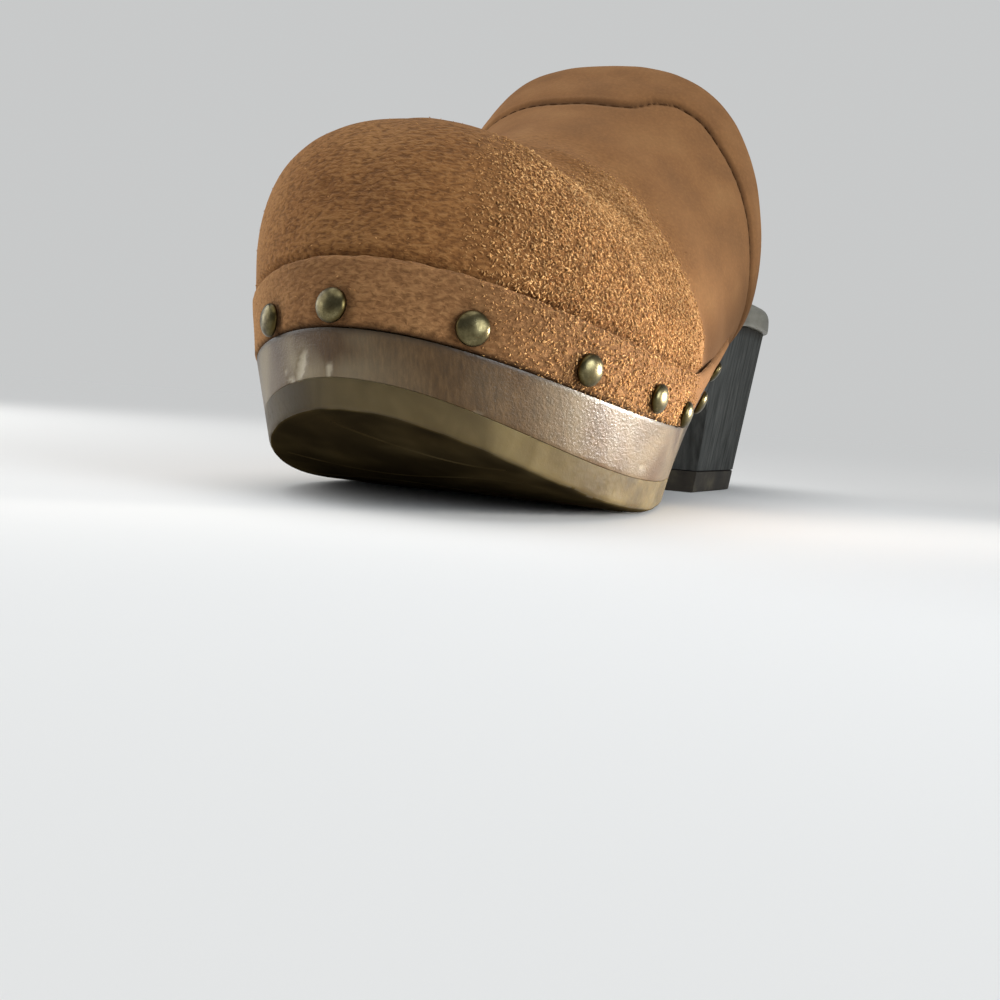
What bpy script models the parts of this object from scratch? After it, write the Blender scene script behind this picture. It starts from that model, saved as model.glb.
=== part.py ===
# Heeled clog, right foot: carved wooden sole, suede vamp nailed round its edge, open back.
# Toe towards -Y, heel towards +Y, medial side +X. The shape is worked out in millimetres from the toe tip.
import bpy
import numpy as np
from mathutils import Matrix, Vector

MM = 0.001
GAP = 0.3  # between neighbouring pieces
TOUCH = 0.0001  # points nearer than this are one point
SHARP_ANGLE = 40.0

# Plan of the sole: the edge of the wood in front, the rim of the seat behind
HEEL_CENTRE_X = 6.7
HEEL_CENTRE_Y = 213.7
HEEL_RADIUS = 30.3
LATERAL = -1
MEDIAL = 1
# One row per side: reach from the toe axis at the ball, distance of the ball from the toe,
# roundness of the toe along and across
BALL = {
    LATERAL: {"reach": 50.2, "y": 73.0, "length_power": 1.95, "width_power": 1.8},
    MEDIAL: {"reach": 44.7, "y": 69.6, "length_power": 2.05, "width_power": 2.2},
}
# Behind the ball: distance from the toe, lateral reach, medial reach
WAIST_ROWS = (
    (95.0, 48.6, 41.6),
    (120.0, 44.4, 37.2),
    (145.0, 39.6, 34.8),
    (170.0, 33.6, 33.8),
    (192.0, 27.2, 35.6),
    (HEEL_CENTRE_Y, HEEL_RADIUS - HEEL_CENTRE_X, HEEL_RADIUS + HEEL_CENTRE_X),
)

# Heights over the floor
BALL_TOP = 21.1  # upper edge of the wood at the ball
TOE_LIFT = 13.5  # rise of that edge towards the toe
TOE_LIFT_END = 93.5
SPRING = 18.7  # rise of the tread at the toe tip
SPRING_END = 90.0
SPRING_POWER = 2.3
HEEL_RISE = 35.3
HEEL_RISE_START = 85.0
HEEL_RISE_END = 195.0
TREAD_TOE = 6.9  # rubber thickness at the toe and at the ball
TREAD_BALL = 7.8
TREAD_END = 114.0
TREAD_ROUND = 1.9  # rounding of the rubber's lower edge
TREAD_ROUND_MIDDLE = 0.3  # its middle point, as a share of the rounding both ways
LIFT_HEIGHT = 7.0
SIDE_DRAFT = 0.21  # inward lean of the forefoot's side
HEEL_DRAFT = 0.127  # inward lean of the heel's side
DRAFT_CHANGE = (125.0, 180.0)
SEAT_OVERHANG = 1.5
SEAT_START = (150.0, 162.0)

# Underside between tread and heel: distance from the toe above and below, height of the underside
ARCH_ROWS = (
    (120.0, 120.0, 10.6),
    (128.0, 128.0, 15.8),
    (138.0, 138.0, 23.2),
    (148.0, 148.0, 29.4),
    (155.0, 155.0, 32.3),
    (161.0, 161.0, 33.0),
    (166.0, 166.0, 31.4),
    (170.0, 169.8, 27.2),
    (173.0, 172.0, 20.6),
    (176.0, 173.2, 13.2),
    (179.0, 174.0, LIFT_HEIGHT + GAP),
)
HEEL_FRONT = 174.0

# Stations of the sole's sections: counts, or distances from the toe
TOE_STATIONS = 15
BEHIND_BALL = 76.0
TREAD_STATIONS = 7
ARCH_STATIONS = 26
WOOD_HEEL_STATIONS = (186.0, 193.0, 200.0, 207.0)
LIFT_STATIONS = (HEEL_FRONT, 181.0, 188.0, 195.0, 202.0, 208.0)
HEEL_STATIONS = 12

# Footbed
FOOTBED_THICKNESS = 8.8
FOOTBED_DISH = 1.2
# Rounded upper edge: inset from the outline, share of the thickness
FOOTBED_EDGE = ((0.0, 0.0), (0.0, 0.5), (0.7, 0.76), (2.2, 0.93), (4.6, 1.0))
DISH_SHARES = (0.2, 0.5, 0.8)
BED_END = 148.0  # the board is set in for the vamp up to here
BED_STATIONS = 11
SEAT_STATIONS = (151.0, 154.0, 157.0, 160.0, 164.0, 172.0, 181.0, 191.0, 202.0)

# Vamp
SUEDE = 2.0
VAMP_INSET = 0.3  # its outer face behind the edge of the wood
VAMP_END = 148.5
CREST_X = -7.5  # line over the toe top to the throat, beside the toe axis
TOE_TOP_Y = 44.5
TOE_TOP_Z = 82.4
THROAT_Y = 134.0
THROAT_Z = 125.2
FAN = 0.38  # share of the edge that runs up to the toe top
CREST_SPREAD = 1.8  # sections crowd towards the toe top
CREST_RISE = 2.0  # the crest is hollow in front of the throat
BELLY_HEIGHT = 0.76  # of the section's height
BELLY_IN = 0.25  # of the way to the crest
# Sections along the edge from toe to topline: share of the edge, outward flare and belly in mm,
# width of the crown, height of the flare as a share of the section
SECTION_COLUMNS = ("share", "flare", "belly", "crown", "flare_height")
SECTIONS = {
    LATERAL: (
        (0.0, 1.0, 2.3, 0.59, 0.3),
        (0.28, 2.0, 15.0, 0.88, 0.3),
        (0.55, 4.4, 11.6, 0.56, 0.3),
        (0.8, 12.0, 19.0, 0.7, 0.27),
        (1.0, 22.0, 26.5, 1.2, 0.2),
    ),
    MEDIAL: (
        (0.0, 1.0, 2.3, 0.59, 0.3),
        (0.28, 4.9, 9.7, 0.58, 0.3),
        (0.55, 6.4, 13.1, 0.34, 0.3),
        (0.8, 13.8, 21.4, 0.65, 0.27),
        (1.0, 21.7, 19.4, 1.19, 0.2),
    ),
}
# Folded hem along the topline: distance from the edge, step in the wall
HEM_ROWS = ((0.0, 0.6), (2.5, 1.0), (8.0, 0.9), (9.8, -0.5), (12.0, 0.0))
HEM_FADE = 16.0  # the step dies out above the sole
FAN_COLUMNS = 15
SIDE_COLUMNS = 20
TOE_SAMPLES = 120
SIDE_SAMPLES = 90
CURVE_SAMPLES = 161
BAND_HEIGHT = 13.2
BAND_THICKNESS = 1.6
BAND_SINK = 1.3  # the vamp is drawn in under the band
BAND_LIP = 2.2  # and back out above it
BAND_ROWS = 3
CROWN_ROWS = 13

# Nails through band and vamp into the footbed
# Driven by hand, from the lateral end round the toe: distance along the edge from the toe axis,
# height above that edge
NAILS = (
    (-148.0, 3.9), (-121.0, 4.2), (-93.5, 4.3), (-64.0, 4.1), (-18.9, 2.9), (-0.2, 3.5),
    (25.7, 4.0), (51.7, 4.3), (79.0, 4.3), (103.0, 3.1), (129.0, 4.0), (154.0, 4.0),
)
NAIL_DIAMETER = 6.6
NAIL_DOME = 1.9
NAIL_RIM = 0.35
SHANK_DIAMETER = 1.5
SHANK_LENGTH = 9.0
SHANK_POINT = 1.5
HOLE_DIAMETER = 2.1
HOLE_BELOW = 0.6  # past the shank's point
HOLE_ABOVE = 1.0  # past the face of the band
NAIL_STEP = 0.01  # share of the edge over which the band's direction is taken
HOLE_SIDES = 6
NAIL_SIDES = 12
DOME_RINGS = 3

# Outermost reach of the nail heads from the toe tip
LATERAL_EXTENT = 53.6
MEDIAL_EXTENT = 47.6
FRONT_EXTENT = 2.4
CENTRE_X = (MEDIAL_EXTENT - LATERAL_EXTENT) / 2
CENTRE_Y = (HEEL_CENTRE_Y + HEEL_RADIUS - FRONT_EXTENT) / 2

# colour, roughness, metallic
FINISHES = {
    "grey_washed_wood": ((0.150, 0.135, 0.112), 0.38, 0.0),
    "pale_wood": ((0.165, 0.155, 0.130), 0.5, 0.0),
    "gum_rubber": ((0.235, 0.175, 0.095), 0.45, 0.0),
    "heel_rubber": ((0.045, 0.038, 0.030), 0.7, 0.0),
    "tan_suede": ((0.255, 0.115, 0.042), 0.95, 0.0),
    "band_suede": ((0.240, 0.112, 0.045), 0.95, 0.0),
    "aged_brass": ((0.330, 0.250, 0.110), 0.32, 1.0),
}


def smooth_through(x, knots, values, start_slope=None, end_slope=None):
    # cubic through the rows of a table, level at an end where a slope of 0 is given
    knots = np.asarray(knots, float)
    values = np.asarray(values, float)
    slopes = np.gradient(values, knots)
    if start_slope is not None:
        slopes[0] = start_slope
    if end_slope is not None:
        slopes[-1] = end_slope
    x = np.clip(x, knots[0], knots[-1])
    row = np.clip(np.searchsorted(knots, x, side="right") - 1, 0, len(knots) - 2)
    width = knots[row + 1] - knots[row]
    part = (x - knots[row]) / width
    rest = 1 - part
    near = (1 + 2 * part) * rest**2 * values[row] + part * rest**2 * width * slopes[row]
    far = part**2 * (3 - 2 * part) * values[row + 1] - part**2 * rest * width * slopes[row + 1]
    return near + far


def ease(x, start, end):
    part = np.clip((np.asarray(x, float) - start) / (end - start), 0, 1)
    return part * part * (3 - 2 * part)


def reach(side, y):
    # distance from the toe axis to the sole's outline
    ball = BALL[side]
    y = np.asarray(y, float)
    ahead = np.clip((ball["y"] - y) / ball["y"], 0, 1)
    front = ball["reach"] * (1 - ahead ** ball["length_power"]) ** (1 / ball["width_power"])
    column = 1 if side == LATERAL else 2
    knots = [ball["y"]] + [row[0] for row in WAIST_ROWS]
    values = [ball["reach"]] + [row[column] for row in WAIST_ROWS]
    waist = smooth_through(y, knots, values, 0.0, 0.0)
    back = side * HEEL_CENTRE_X + np.sqrt(np.clip(HEEL_RADIUS**2 - (y - HEEL_CENTRE_Y) ** 2, 0, None))
    return np.where(y < ball["y"], front, np.where(y < HEEL_CENTRE_Y, waist, back))


def outline_normal(side, y):
    # outward direction of the outline, straight ahead at the toe tip and straight back at the heel
    heel_end = HEEL_CENTRE_Y + HEEL_RADIUS
    step = 0.01
    if y < step:
        return np.array((0.0, -1.0))
    if y > heel_end - step:
        return np.array((0.0, 1.0))
    if y > HEEL_CENTRE_Y:
        direction = np.array((side * reach(side, y) - HEEL_CENTRE_X, y - HEEL_CENTRE_Y))
        return direction / np.linalg.norm(direction)
    growth = (reach(side, y + step / 2) - reach(side, y - step / 2)) / step
    return np.array((side, -growth)) / np.hypot(1, growth)


def outline_point(side, y, inset, z):
    # a point on the outline moved inwards by inset
    x = side * float(reach(side, y))
    if y >= HEEL_CENTRE_Y + HEEL_RADIUS:
        x = HEEL_CENTRE_X
    normal = outline_normal(side, y)
    return (x - normal[0] * inset, y - normal[1] * inset, z)


def wood_top(y):
    ahead = np.clip((TOE_LIFT_END - y) / TOE_LIFT_END, 0, None)
    return BALL_TOP + TOE_LIFT * ahead**SPRING_POWER + HEEL_RISE * ease(y, HEEL_RISE_START, HEEL_RISE_END)


def tread_bottom(y):
    return SPRING * np.clip((SPRING_END - y) / SPRING_END, 0, None) ** SPRING_POWER


def tread_top(y):
    ball_share = np.clip(y / BALL[MEDIAL]["y"], 0, 1)
    return tread_bottom(y) + TREAD_TOE + (TREAD_BALL - TREAD_TOE) * ball_share


def wood_inset(y, z):
    # the side of the wood leans in below its upper edge, and the seat stands proud behind
    lean = SIDE_DRAFT + (HEEL_DRAFT - SIDE_DRAFT) * ease(y, *DRAFT_CHANGE)
    return SEAT_OVERHANG * ease(y, *SEAT_START) + lean * (wood_top(y) - z)


def toe_stations():
    # close together at the tip, where the outline turns
    angles = np.linspace(0, np.pi / 2, TOE_STATIONS)
    return list(BALL[MEDIAL]["y"] * (1 - np.cos(angles)))


def tread_stations():
    return toe_stations() + list(np.linspace(BEHIND_BALL, TREAD_END, TREAD_STATIONS))


def heel_stations():
    angles = np.linspace(0, np.pi / 2, HEEL_STATIONS)
    return list(HEEL_CENTRE_Y + HEEL_RADIUS * np.sin(angles))


def finish(name):
    material = bpy.data.materials.get(name)
    if material:
        return material
    colour, roughness, metallic = FINISHES[name]
    material = bpy.data.materials.new(name)
    material.use_nodes = True
    shader = material.node_tree.nodes["Principled BSDF"]
    shader.inputs["Base Color"].default_value = (*colour, 1.0)
    shader.inputs["Roughness"].default_value = roughness
    shader.inputs["Metallic"].default_value = metallic
    material.diffuse_color = (*colour, 1.0)
    return material


def add_piece(name, points, faces, finish_name, parent):
    # points in mm from the toe tip become a named object in metres about the part's own origin
    shift = np.array((CENTRE_X, CENTRE_Y, 0.0))
    vertices = (np.asarray(points, float) - shift) * MM
    mesh = bpy.data.meshes.new(name)
    mesh.from_pydata([tuple(v) for v in vertices], [], faces)
    mesh.validate()
    mesh.materials.append(finish(finish_name))
    mesh.shade_smooth()
    mesh.set_sharp_from_angle(angle=np.radians(SHARP_ANGLE))
    piece = bpy.data.objects.new(name, mesh)
    bpy.context.scene.collection.objects.link(piece)
    piece.parent = parent
    return piece


def volume(points, faces):
    # positive where the faces point outwards
    corner = np.asarray(points, float)
    total = 0.0
    for face in faces:
        for b, c in zip(face[1:], face[2:]):
            total += np.dot(corner[face[0]], np.cross(corner[b], corner[c])) / 6
    return total


def loft(loops):
    # a closed solid through loops of equal length; points of one loop that coincide are shared
    points = []
    rings = []
    for loop in loops:
        ring = []
        for point in loop:
            same = [i for i in set(ring) if np.allclose(points[i], point, atol=TOUCH)]
            if same:
                ring.append(same[0])
            else:
                ring.append(len(points))
                points.append(tuple(float(c) for c in point))
        rings.append(ring)
    faces = []
    count = len(loops[0])
    for ahead, behind in zip(rings, rings[1:]):
        for k in range(count):
            corners = [ahead[k], behind[k], behind[(k + 1) % count], ahead[(k + 1) % count]]
            face = list(dict.fromkeys(corners))
            if len(face) > 2:
                faces.append(face)
    for ring, backwards in ((rings[0], False), (rings[-1], True)):
        end = list(dict.fromkeys(ring))
        if len(end) == count:
            faces.append(end[::-1] if backwards else end)
    if volume(points, faces) < 0:
        faces = [face[::-1] for face in faces]
    return points, faces


def wooden_sole(parent):
    rows = [(y, y, tread_top(y)) for y in tread_stations()]
    numbers = np.arange(len(ARCH_ROWS))
    for place in np.linspace(0, numbers[-1], ARCH_STATIONS):
        rows.append(tuple(float(smooth_through(place, numbers, column)) for column in zip(*ARCH_ROWS)))
    heel_bottom = LIFT_HEIGHT + GAP
    rows += [(y, y, heel_bottom) for y in list(WOOD_HEEL_STATIONS) + heel_stations()]
    loops = []
    for y_above, y_below, bottom in rows:
        top = wood_top(y_above)
        upper = [outline_point(side, y_above, wood_inset(y_above, top), top) for side in (LATERAL, MEDIAL)]
        inset = wood_inset(y_below, bottom)
        lower = [outline_point(side, y_below, inset, bottom) for side in (MEDIAL, LATERAL)]
        loops.append(upper + lower)
    points, faces = loft(loops)
    return add_piece("wooden_sole", points, faces, "grey_washed_wood", parent)


def outsole(parent):
    loops = []
    corner = TREAD_ROUND_MIDDLE * TREAD_ROUND
    for y in tread_stations():
        top = tread_top(y) - GAP
        bottom = tread_bottom(y)
        levels = ((top, 0.0), (bottom + TREAD_ROUND, 0.0), (bottom + corner, corner), (bottom, TREAD_ROUND))
        lateral = [outline_point(LATERAL, y, wood_inset(y, z) + more, z) for z, more in levels]
        medial = [outline_point(MEDIAL, y, wood_inset(y, z) + more, z) for z, more in levels]
        loops.append(lateral[::-1] + medial)
    points, faces = loft(loops)
    return add_piece("outsole", points, faces, "gum_rubber", parent)


def heel_lift(parent):
    loops = []
    for y in list(LIFT_STATIONS) + heel_stations():
        inset = wood_inset(y, LIFT_HEIGHT)
        upper = [outline_point(side, y, inset, LIFT_HEIGHT) for side in (LATERAL, MEDIAL)]
        lower = [outline_point(side, y, wood_inset(y, 0.0), 0.0) for side in (MEDIAL, LATERAL)]
        loops.append(upper + lower)
    points, faces = loft(loops)
    return add_piece("heel_lift", points, faces, "heel_rubber", parent)


def footbed(parent):
    vamp_room = VAMP_INSET + BAND_SINK + SUEDE + GAP
    behind = list(np.linspace(BEHIND_BALL, BED_END, BED_STATIONS)) + list(SEAT_STATIONS)
    loops = []
    for y in toe_stations() + behind + heel_stations():
        base = wood_top(y) + GAP
        inset = vamp_room * (1 - ease(y, *SEAT_START))
        sides = {}
        for side in (LATERAL, MEDIAL):
            sides[side] = [outline_point(side, y, inset + more, base + share * FOOTBED_THICKNESS)
                           for more, share in FOOTBED_EDGE]
        near, far = np.array(sides[LATERAL][-1]), np.array(sides[MEDIAL][-1])
        middle = []
        for share in DISH_SHARES:
            point = near + (far - near) * share
            width = np.linalg.norm(far - near) / (2 * HEEL_RADIUS)
            point[2] -= FOOTBED_DISH * min(width, 1.0) * 4 * share * (1 - share)
            middle.append(tuple(point))
        loops.append(sides[LATERAL] + middle + sides[MEDIAL][::-1])
    points, faces = loft(loops)
    return add_piece("footbed", points, faces, "pale_wood", parent)


def vamp_edge(side):
    # the vamp's lower edge, evenly spaced from the toe tip to the topline, with its outward direction
    ball_y = BALL[side]["y"]
    toe_y = ball_y * (1 - np.cos(np.linspace(0, np.pi / 2, TOE_SAMPLES)))
    y = np.r_[toe_y, np.linspace(ball_y, VAMP_END, SIDE_SAMPLES)[1:]]
    flat = np.array([outline_point(side, value, VAMP_INSET, 0.0)[:2] for value in y])
    outward = np.array([outline_normal(side, value) for value in y])
    run = np.r_[0, np.cumsum(np.linalg.norm(np.diff(flat, axis=0), axis=1))]
    seat = np.c_[flat, wood_top(y) + GAP]
    return seat, outward, run


def vamp_profile(side, share):
    # one section of the last: a quartic from the sole's edge over flare, belly and crown to the crest
    seat, outward, run = vamp_edge(side)
    place = share * run[-1]
    edge = np.array([np.interp(place, run, seat[:, axis]) for axis in range(3)])
    away = np.array([np.interp(place, run, outward[:, 0]), np.interp(place, run, outward[:, 1]), 0.0])
    columns = dict(zip(SECTION_COLUMNS, zip(*SECTIONS[side])))
    flare, belly, crown, flare_height = (
        smooth_through(share, columns["share"], columns[name]) for name in SECTION_COLUMNS[1:]
    )
    back = max(0.0, (share - FAN) / (1 - FAN)) ** CREST_SPREAD
    crest = np.array([CREST_X, TOE_TOP_Y + (THROAT_Y - TOE_TOP_Y) * back,
                      TOE_TOP_Z + (THROAT_Z - TOE_TOP_Z) * back**CREST_RISE])
    height = np.array([0.0, 0.0, crest[2] - edge[2]])
    across = np.array([crest[0] - edge[0], crest[1] - edge[1], 0.0])
    flare_point = edge + away * flare + height * flare_height
    belly_point = edge + across * BELLY_IN + away * belly + height * BELLY_HEIGHT
    crown_point = crest - across * np.array([crown, crown * (1 - back) ** 2, 0.0])
    t = np.linspace(0, 1, CURVE_SAMPLES)[:, None]
    s = 1 - t
    curve = (s**4 * edge + 4 * t * s**3 * flare_point + 6 * t**2 * s**2 * belly_point
             + 4 * t**3 * s * crown_point + t**4 * crest)
    run_up = np.r_[0, np.cumsum(np.linalg.norm(np.diff(curve, axis=0), axis=1))]
    band = np.linspace(0, BAND_HEIGHT, BAND_ROWS + 1)
    rows = np.r_[band, np.linspace(BAND_HEIGHT + BAND_LIP, run_up[-1], CROWN_ROWS)]
    return np.array([[np.interp(row, run_up, curve[:, axis]) for axis in range(3)] for row in rows])


def vamp_shares():
    # stations from the toe tip to the topline, with the steps of the hem at the end
    length = vamp_edge(MEDIAL)[2][-1]
    hem = [1 - distance / length for distance, _ in HEM_ROWS][::-1]
    fan = np.linspace(0, FAN, FAN_COLUMNS)
    sides = np.linspace(FAN, hem[0], SIDE_COLUMNS)[1:]
    return list(fan) + list(sides) + hem[1:]


class VampSurface:
    # the last's own surface as one sheet of shared points, with normals
    def __init__(self):
        self.shares = vamp_shares()
        count = len(self.shares)
        self.columns = [(LATERAL, i) for i in range(count - 1, 0, -1)] + [(MEDIAL, i) for i in range(count)]
        self.row_count = BAND_ROWS + CROWN_ROWS + 1
        self.points = []
        self.ids = []
        crest_ids = {}
        for side, i in self.columns:
            profile = vamp_profile(side, self.shares[i])
            column = []
            for row, point in enumerate(profile):
                if row < self.row_count - 1:
                    column.append(self.add(point))
                    continue
                key = 0 if self.shares[i] <= FAN + TOUCH else i
                if key not in crest_ids:
                    crest_ids[key] = self.add(point)
                column.append(crest_ids[key])
            self.ids.append(column)
        self.points = np.array(self.points)
        self.faces = self.sheet(range(len(self.columns)), self.row_count)
        self.normals = self.vertex_normals()

    def add(self, point):
        self.points.append(point)
        return len(self.points) - 1

    def band_columns(self):
        # the band stops where the hem begins
        hem = len(HEM_ROWS) - 1
        return range(hem, len(self.columns) - hem)

    def sheet(self, column_range, row_count):
        faces = []
        for c, d in zip(column_range, list(column_range)[1:]):
            for r in range(row_count - 1):
                corners = [self.ids[c][r], self.ids[d][r], self.ids[d][r + 1], self.ids[c][r + 1]]
                face = list(dict.fromkeys(corners))
                if len(face) > 2:
                    faces.append(face)
        return faces

    def vertex_normals(self):
        normals = np.zeros_like(self.points)
        for face in self.faces:
            corner = self.points[face]
            area = np.cross(corner[1] - corner[0], corner[2] - corner[0])
            if len(face) == 4:
                area = area + np.cross(corner[2] - corner[0], corner[3] - corner[0])
            normals[face] += area
        for column in self.ids:
            normals[column[0]][2] = 0.0  # level where the leather stands on the wood
        return normals / np.linalg.norm(normals, axis=1)[:, None]

    def shell(self, column_range, row_count, outer_step, inner_step):
        # a closed wall between two offsets of the sheet
        faces = self.sheet(column_range, row_count)
        used = sorted({i for face in faces for i in face})
        place = {old: new for new, old in enumerate(used)}
        outer = self.points[used] + self.normals[used] * outer_step[used][:, None]
        inner = self.points[used] + self.normals[used] * inner_step[used][:, None]
        count = len(used)
        solid = [[place[i] for i in face] for face in faces]
        solid += [[place[i] + count for i in face[::-1]] for face in faces]
        edges = {}
        for face in faces:
            for a, b in zip(face, face[1:] + face[:1]):
                edges[(a, b)] = True
        for a, b in edges:
            if (b, a) not in edges:
                solid.append([place[b], place[a], place[a] + count, place[b] + count])
        return np.concatenate([outer, inner]), solid


def vamp(surface, parent):
    sink = np.zeros(len(surface.points))
    step = np.zeros(len(surface.points))
    length = vamp_edge(MEDIAL)[2][-1]
    distances, steps = zip(*HEM_ROWS)
    for (_, i), column in zip(surface.columns, surface.ids):
        from_edge = (1 - surface.shares[i]) * length
        hem = np.interp(from_edge, distances, steps)
        for point in column:
            height = surface.points[point][2] - surface.points[column[0]][2]
            step[point] = hem * ease(height, 0.0, HEM_FADE)
    for c in surface.band_columns():
        sink[surface.ids[c][:BAND_ROWS + 1]] = BAND_SINK
    points, faces = surface.shell(range(len(surface.columns)), surface.row_count, step - sink, -SUEDE - sink)
    return add_piece("vamp", points, faces, "tan_suede", parent)


def nail_band(surface, parent):
    inner = np.full(len(surface.points), GAP - BAND_SINK)
    points, faces = surface.shell(surface.band_columns(), BAND_ROWS + 1, inner + BAND_THICKNESS, inner)
    return add_piece("nail_band", points, faces, "band_suede", parent)


def nail_frames():
    # places along the band, each with the direction square to the leather
    lengths = {side: vamp_edge(side)[2][-1] for side in (LATERAL, MEDIAL)}
    frames = []
    for run, rise in NAILS:
        side = LATERAL if run < 0 else MEDIAL
        share = abs(run) / lengths[side]
        ahead = vamp_profile(side, max(share - NAIL_STEP, 0.0))
        behind = vamp_profile(side, share + NAIL_STEP)
        here = vamp_profile(side, share)
        level = rise / BAND_HEIGHT * BAND_ROWS
        rows = np.arange(len(here))
        point, first, second = (
            np.array([np.interp(level, rows, curve[:, axis]) for axis in range(3)])
            for curve in (here, ahead, behind)
        )
        along = (second - first) * side
        upward = here[BAND_ROWS] - here[0]
        outward = np.cross(along, upward)
        outward = outward / np.linalg.norm(outward)
        frames.append((point + outward * (2 * GAP + BAND_THICKNESS - BAND_SINK), outward))
    return frames


def turned(profile, sides):
    # rings of (radius, height) about Z, closed at both ends, where the radius is 0
    loops = []
    for radius, height in profile:
        angles = 2 * np.pi * np.arange(sides) / sides
        loops.append([(radius * np.cos(a), radius * np.sin(a), height) for a in angles])
    return loft(loops)


def stand_up(frame):
    point, outward = frame
    turn = Vector((0, 0, 1)).rotation_difference(Vector(outward)).to_matrix()
    place = Vector(point) - Vector((CENTRE_X, CENTRE_Y, 0.0))
    return Matrix.Translation(place * MM) @ turn.to_4x4()


def dome_nails(frames, parent):
    radius = NAIL_DIAMETER / 2
    shank = SHANK_DIAMETER / 2
    profile = [(0.0, -SHANK_LENGTH), (shank, SHANK_POINT - SHANK_LENGTH), (shank, 0.0), (radius, 0.0)]
    for ring in range(DOME_RINGS):
        angle = np.pi / 2 * ring / DOME_RINGS
        profile.append((radius * np.cos(angle), NAIL_RIM + (NAIL_DOME - NAIL_RIM) * np.sin(angle)))
    profile.append((0.0, NAIL_DOME))
    points, faces = turned(profile, NAIL_SIDES)
    centred = np.array(points) + np.array((CENTRE_X, CENTRE_Y, 0.0))
    for number, frame in enumerate(frames, 1):
        nail = add_piece(f"nail_{number:02d}", centred, faces, "aged_brass", parent)
        nail.matrix_world = stand_up(frame)


def pierce(pieces, frames):
    # holes for the shanks through band and vamp and into the footbed
    radius = HOLE_DIAMETER / 2
    depth = SHANK_LENGTH + HOLE_BELOW
    profile = [(0.0, -depth), (radius, -depth), (radius, HOLE_ABOVE), (0.0, HOLE_ABOVE)]
    points, faces = turned(profile, HOLE_SIDES)
    vertices = []
    cuts = []
    for frame in frames:
        start = len(vertices)
        matrix = stand_up(frame)
        vertices += [matrix @ (Vector(point) * MM) for point in points]
        cuts += [[start + i for i in face] for face in faces]
    mesh = bpy.data.meshes.new("nail_holes")
    mesh.from_pydata([tuple(v) for v in vertices], [], cuts)
    cutter = bpy.data.objects.new("nail_holes", mesh)
    bpy.context.scene.collection.objects.link(cutter)
    cutter.hide_render = True
    cutter.display_type = "WIRE"
    for piece in pieces:
        cut = piece.modifiers.new("nail_holes", "BOOLEAN")
        cut.operation = "DIFFERENCE"
        cut.solver = "EXACT"
        cut.object = cutter


def main():
    for old in list(bpy.data.objects):
        bpy.data.objects.remove(old)
    clog = bpy.data.objects.new("heeled_clog", None)
    bpy.context.scene.collection.objects.link(clog)
    wooden_sole(clog)
    outsole(clog)
    heel_lift(clog)
    bed = footbed(clog)
    surface = VampSurface()
    upper = vamp(surface, clog)
    band = nail_band(surface, clog)
    frames = nail_frames()
    dome_nails(frames, clog)
    pierce((bed, upper, band), frames)


main()
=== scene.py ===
import math
import bmesh
import bpy
import numpy as np
from mathutils import Matrix, Vector, noise
from mathutils.bvhtree import BVHTree


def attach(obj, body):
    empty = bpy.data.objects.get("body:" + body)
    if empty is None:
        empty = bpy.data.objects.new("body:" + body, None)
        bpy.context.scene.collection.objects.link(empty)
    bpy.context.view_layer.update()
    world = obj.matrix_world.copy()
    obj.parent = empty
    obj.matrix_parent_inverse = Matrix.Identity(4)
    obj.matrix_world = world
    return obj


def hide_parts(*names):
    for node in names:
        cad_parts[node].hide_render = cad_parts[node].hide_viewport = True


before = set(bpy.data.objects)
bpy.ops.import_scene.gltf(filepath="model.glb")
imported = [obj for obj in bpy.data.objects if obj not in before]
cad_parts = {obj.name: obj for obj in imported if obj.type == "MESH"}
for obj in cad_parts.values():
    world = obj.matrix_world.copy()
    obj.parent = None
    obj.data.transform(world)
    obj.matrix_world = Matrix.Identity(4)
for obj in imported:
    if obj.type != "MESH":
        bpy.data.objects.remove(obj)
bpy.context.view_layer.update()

mm = 0.001
lateral, medial = -1, 1
toeTip = np.array((3.0, -120.8, 0.0))  # where the toe tip lies in the part's frame, in mm
gap = 0.3  # between pieces that meet


# colours, nodes and meshes

def hexColour(text):
    values = [int(text[i:i + 2], 16) / 255 for i in (1, 3, 5)]
    linear = [v / 12.92 if v <= 0.04045 else ((v + 0.055) / 1.055) ** 2.4 for v in values]
    return (*linear, 1.0)


def linkTo(node, links):
    # a link comes from a socket, or from a node's first output in use
    for name, source in links.items():
        if isinstance(source, bpy.types.Node):
            source = next(socket for socket in source.outputs if socket.enabled)
        node.id_data.links.new(source, node.inputs[name])


def addNode(tree, kind, settings=None, links=None):
    # a setting is a property of the node, a socket by name or number, or the stops of a ramp
    node = tree.nodes.new(kind)
    for name, value in (settings or {}).items():
        if name == "stops":
            ramp = node.color_ramp.elements
            for place, colour in value[1:-1]:
                ramp.new(place)
            for stop, (place, colour) in zip(ramp, value):
                stop.position = place
                stop.color = hexColour(colour) if isinstance(colour, str) else (colour, colour, colour, 1.0)
        elif isinstance(name, str) and name in node.bl_rna.properties:
            setattr(node, name, value)
        else:
            node.inputs[name].default_value = value
    linkTo(node, links or {})
    return node


def newMaterial(name, constants):
    # the last value is the place on the piece in mm
    material = bpy.data.materials.new(name)
    material.use_nodes = True
    tree = material.node_tree
    shader = tree.nodes["Principled BSDF"]
    for socket, value in constants.items():
        shader.inputs[socket].default_value = value
    place = addNode(tree, "ShaderNodeTexCoord")
    inMm = addNode(tree, "ShaderNodeVectorMath", {"operation": "SCALE", "Scale": 1 / mm},
                   {0: place.outputs["Object"]})
    return material, tree, shader, inMm


def addObject(name, data):
    item = bpy.data.objects.new(name, data)
    bpy.context.scene.collection.objects.link(item)
    return item


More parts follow.
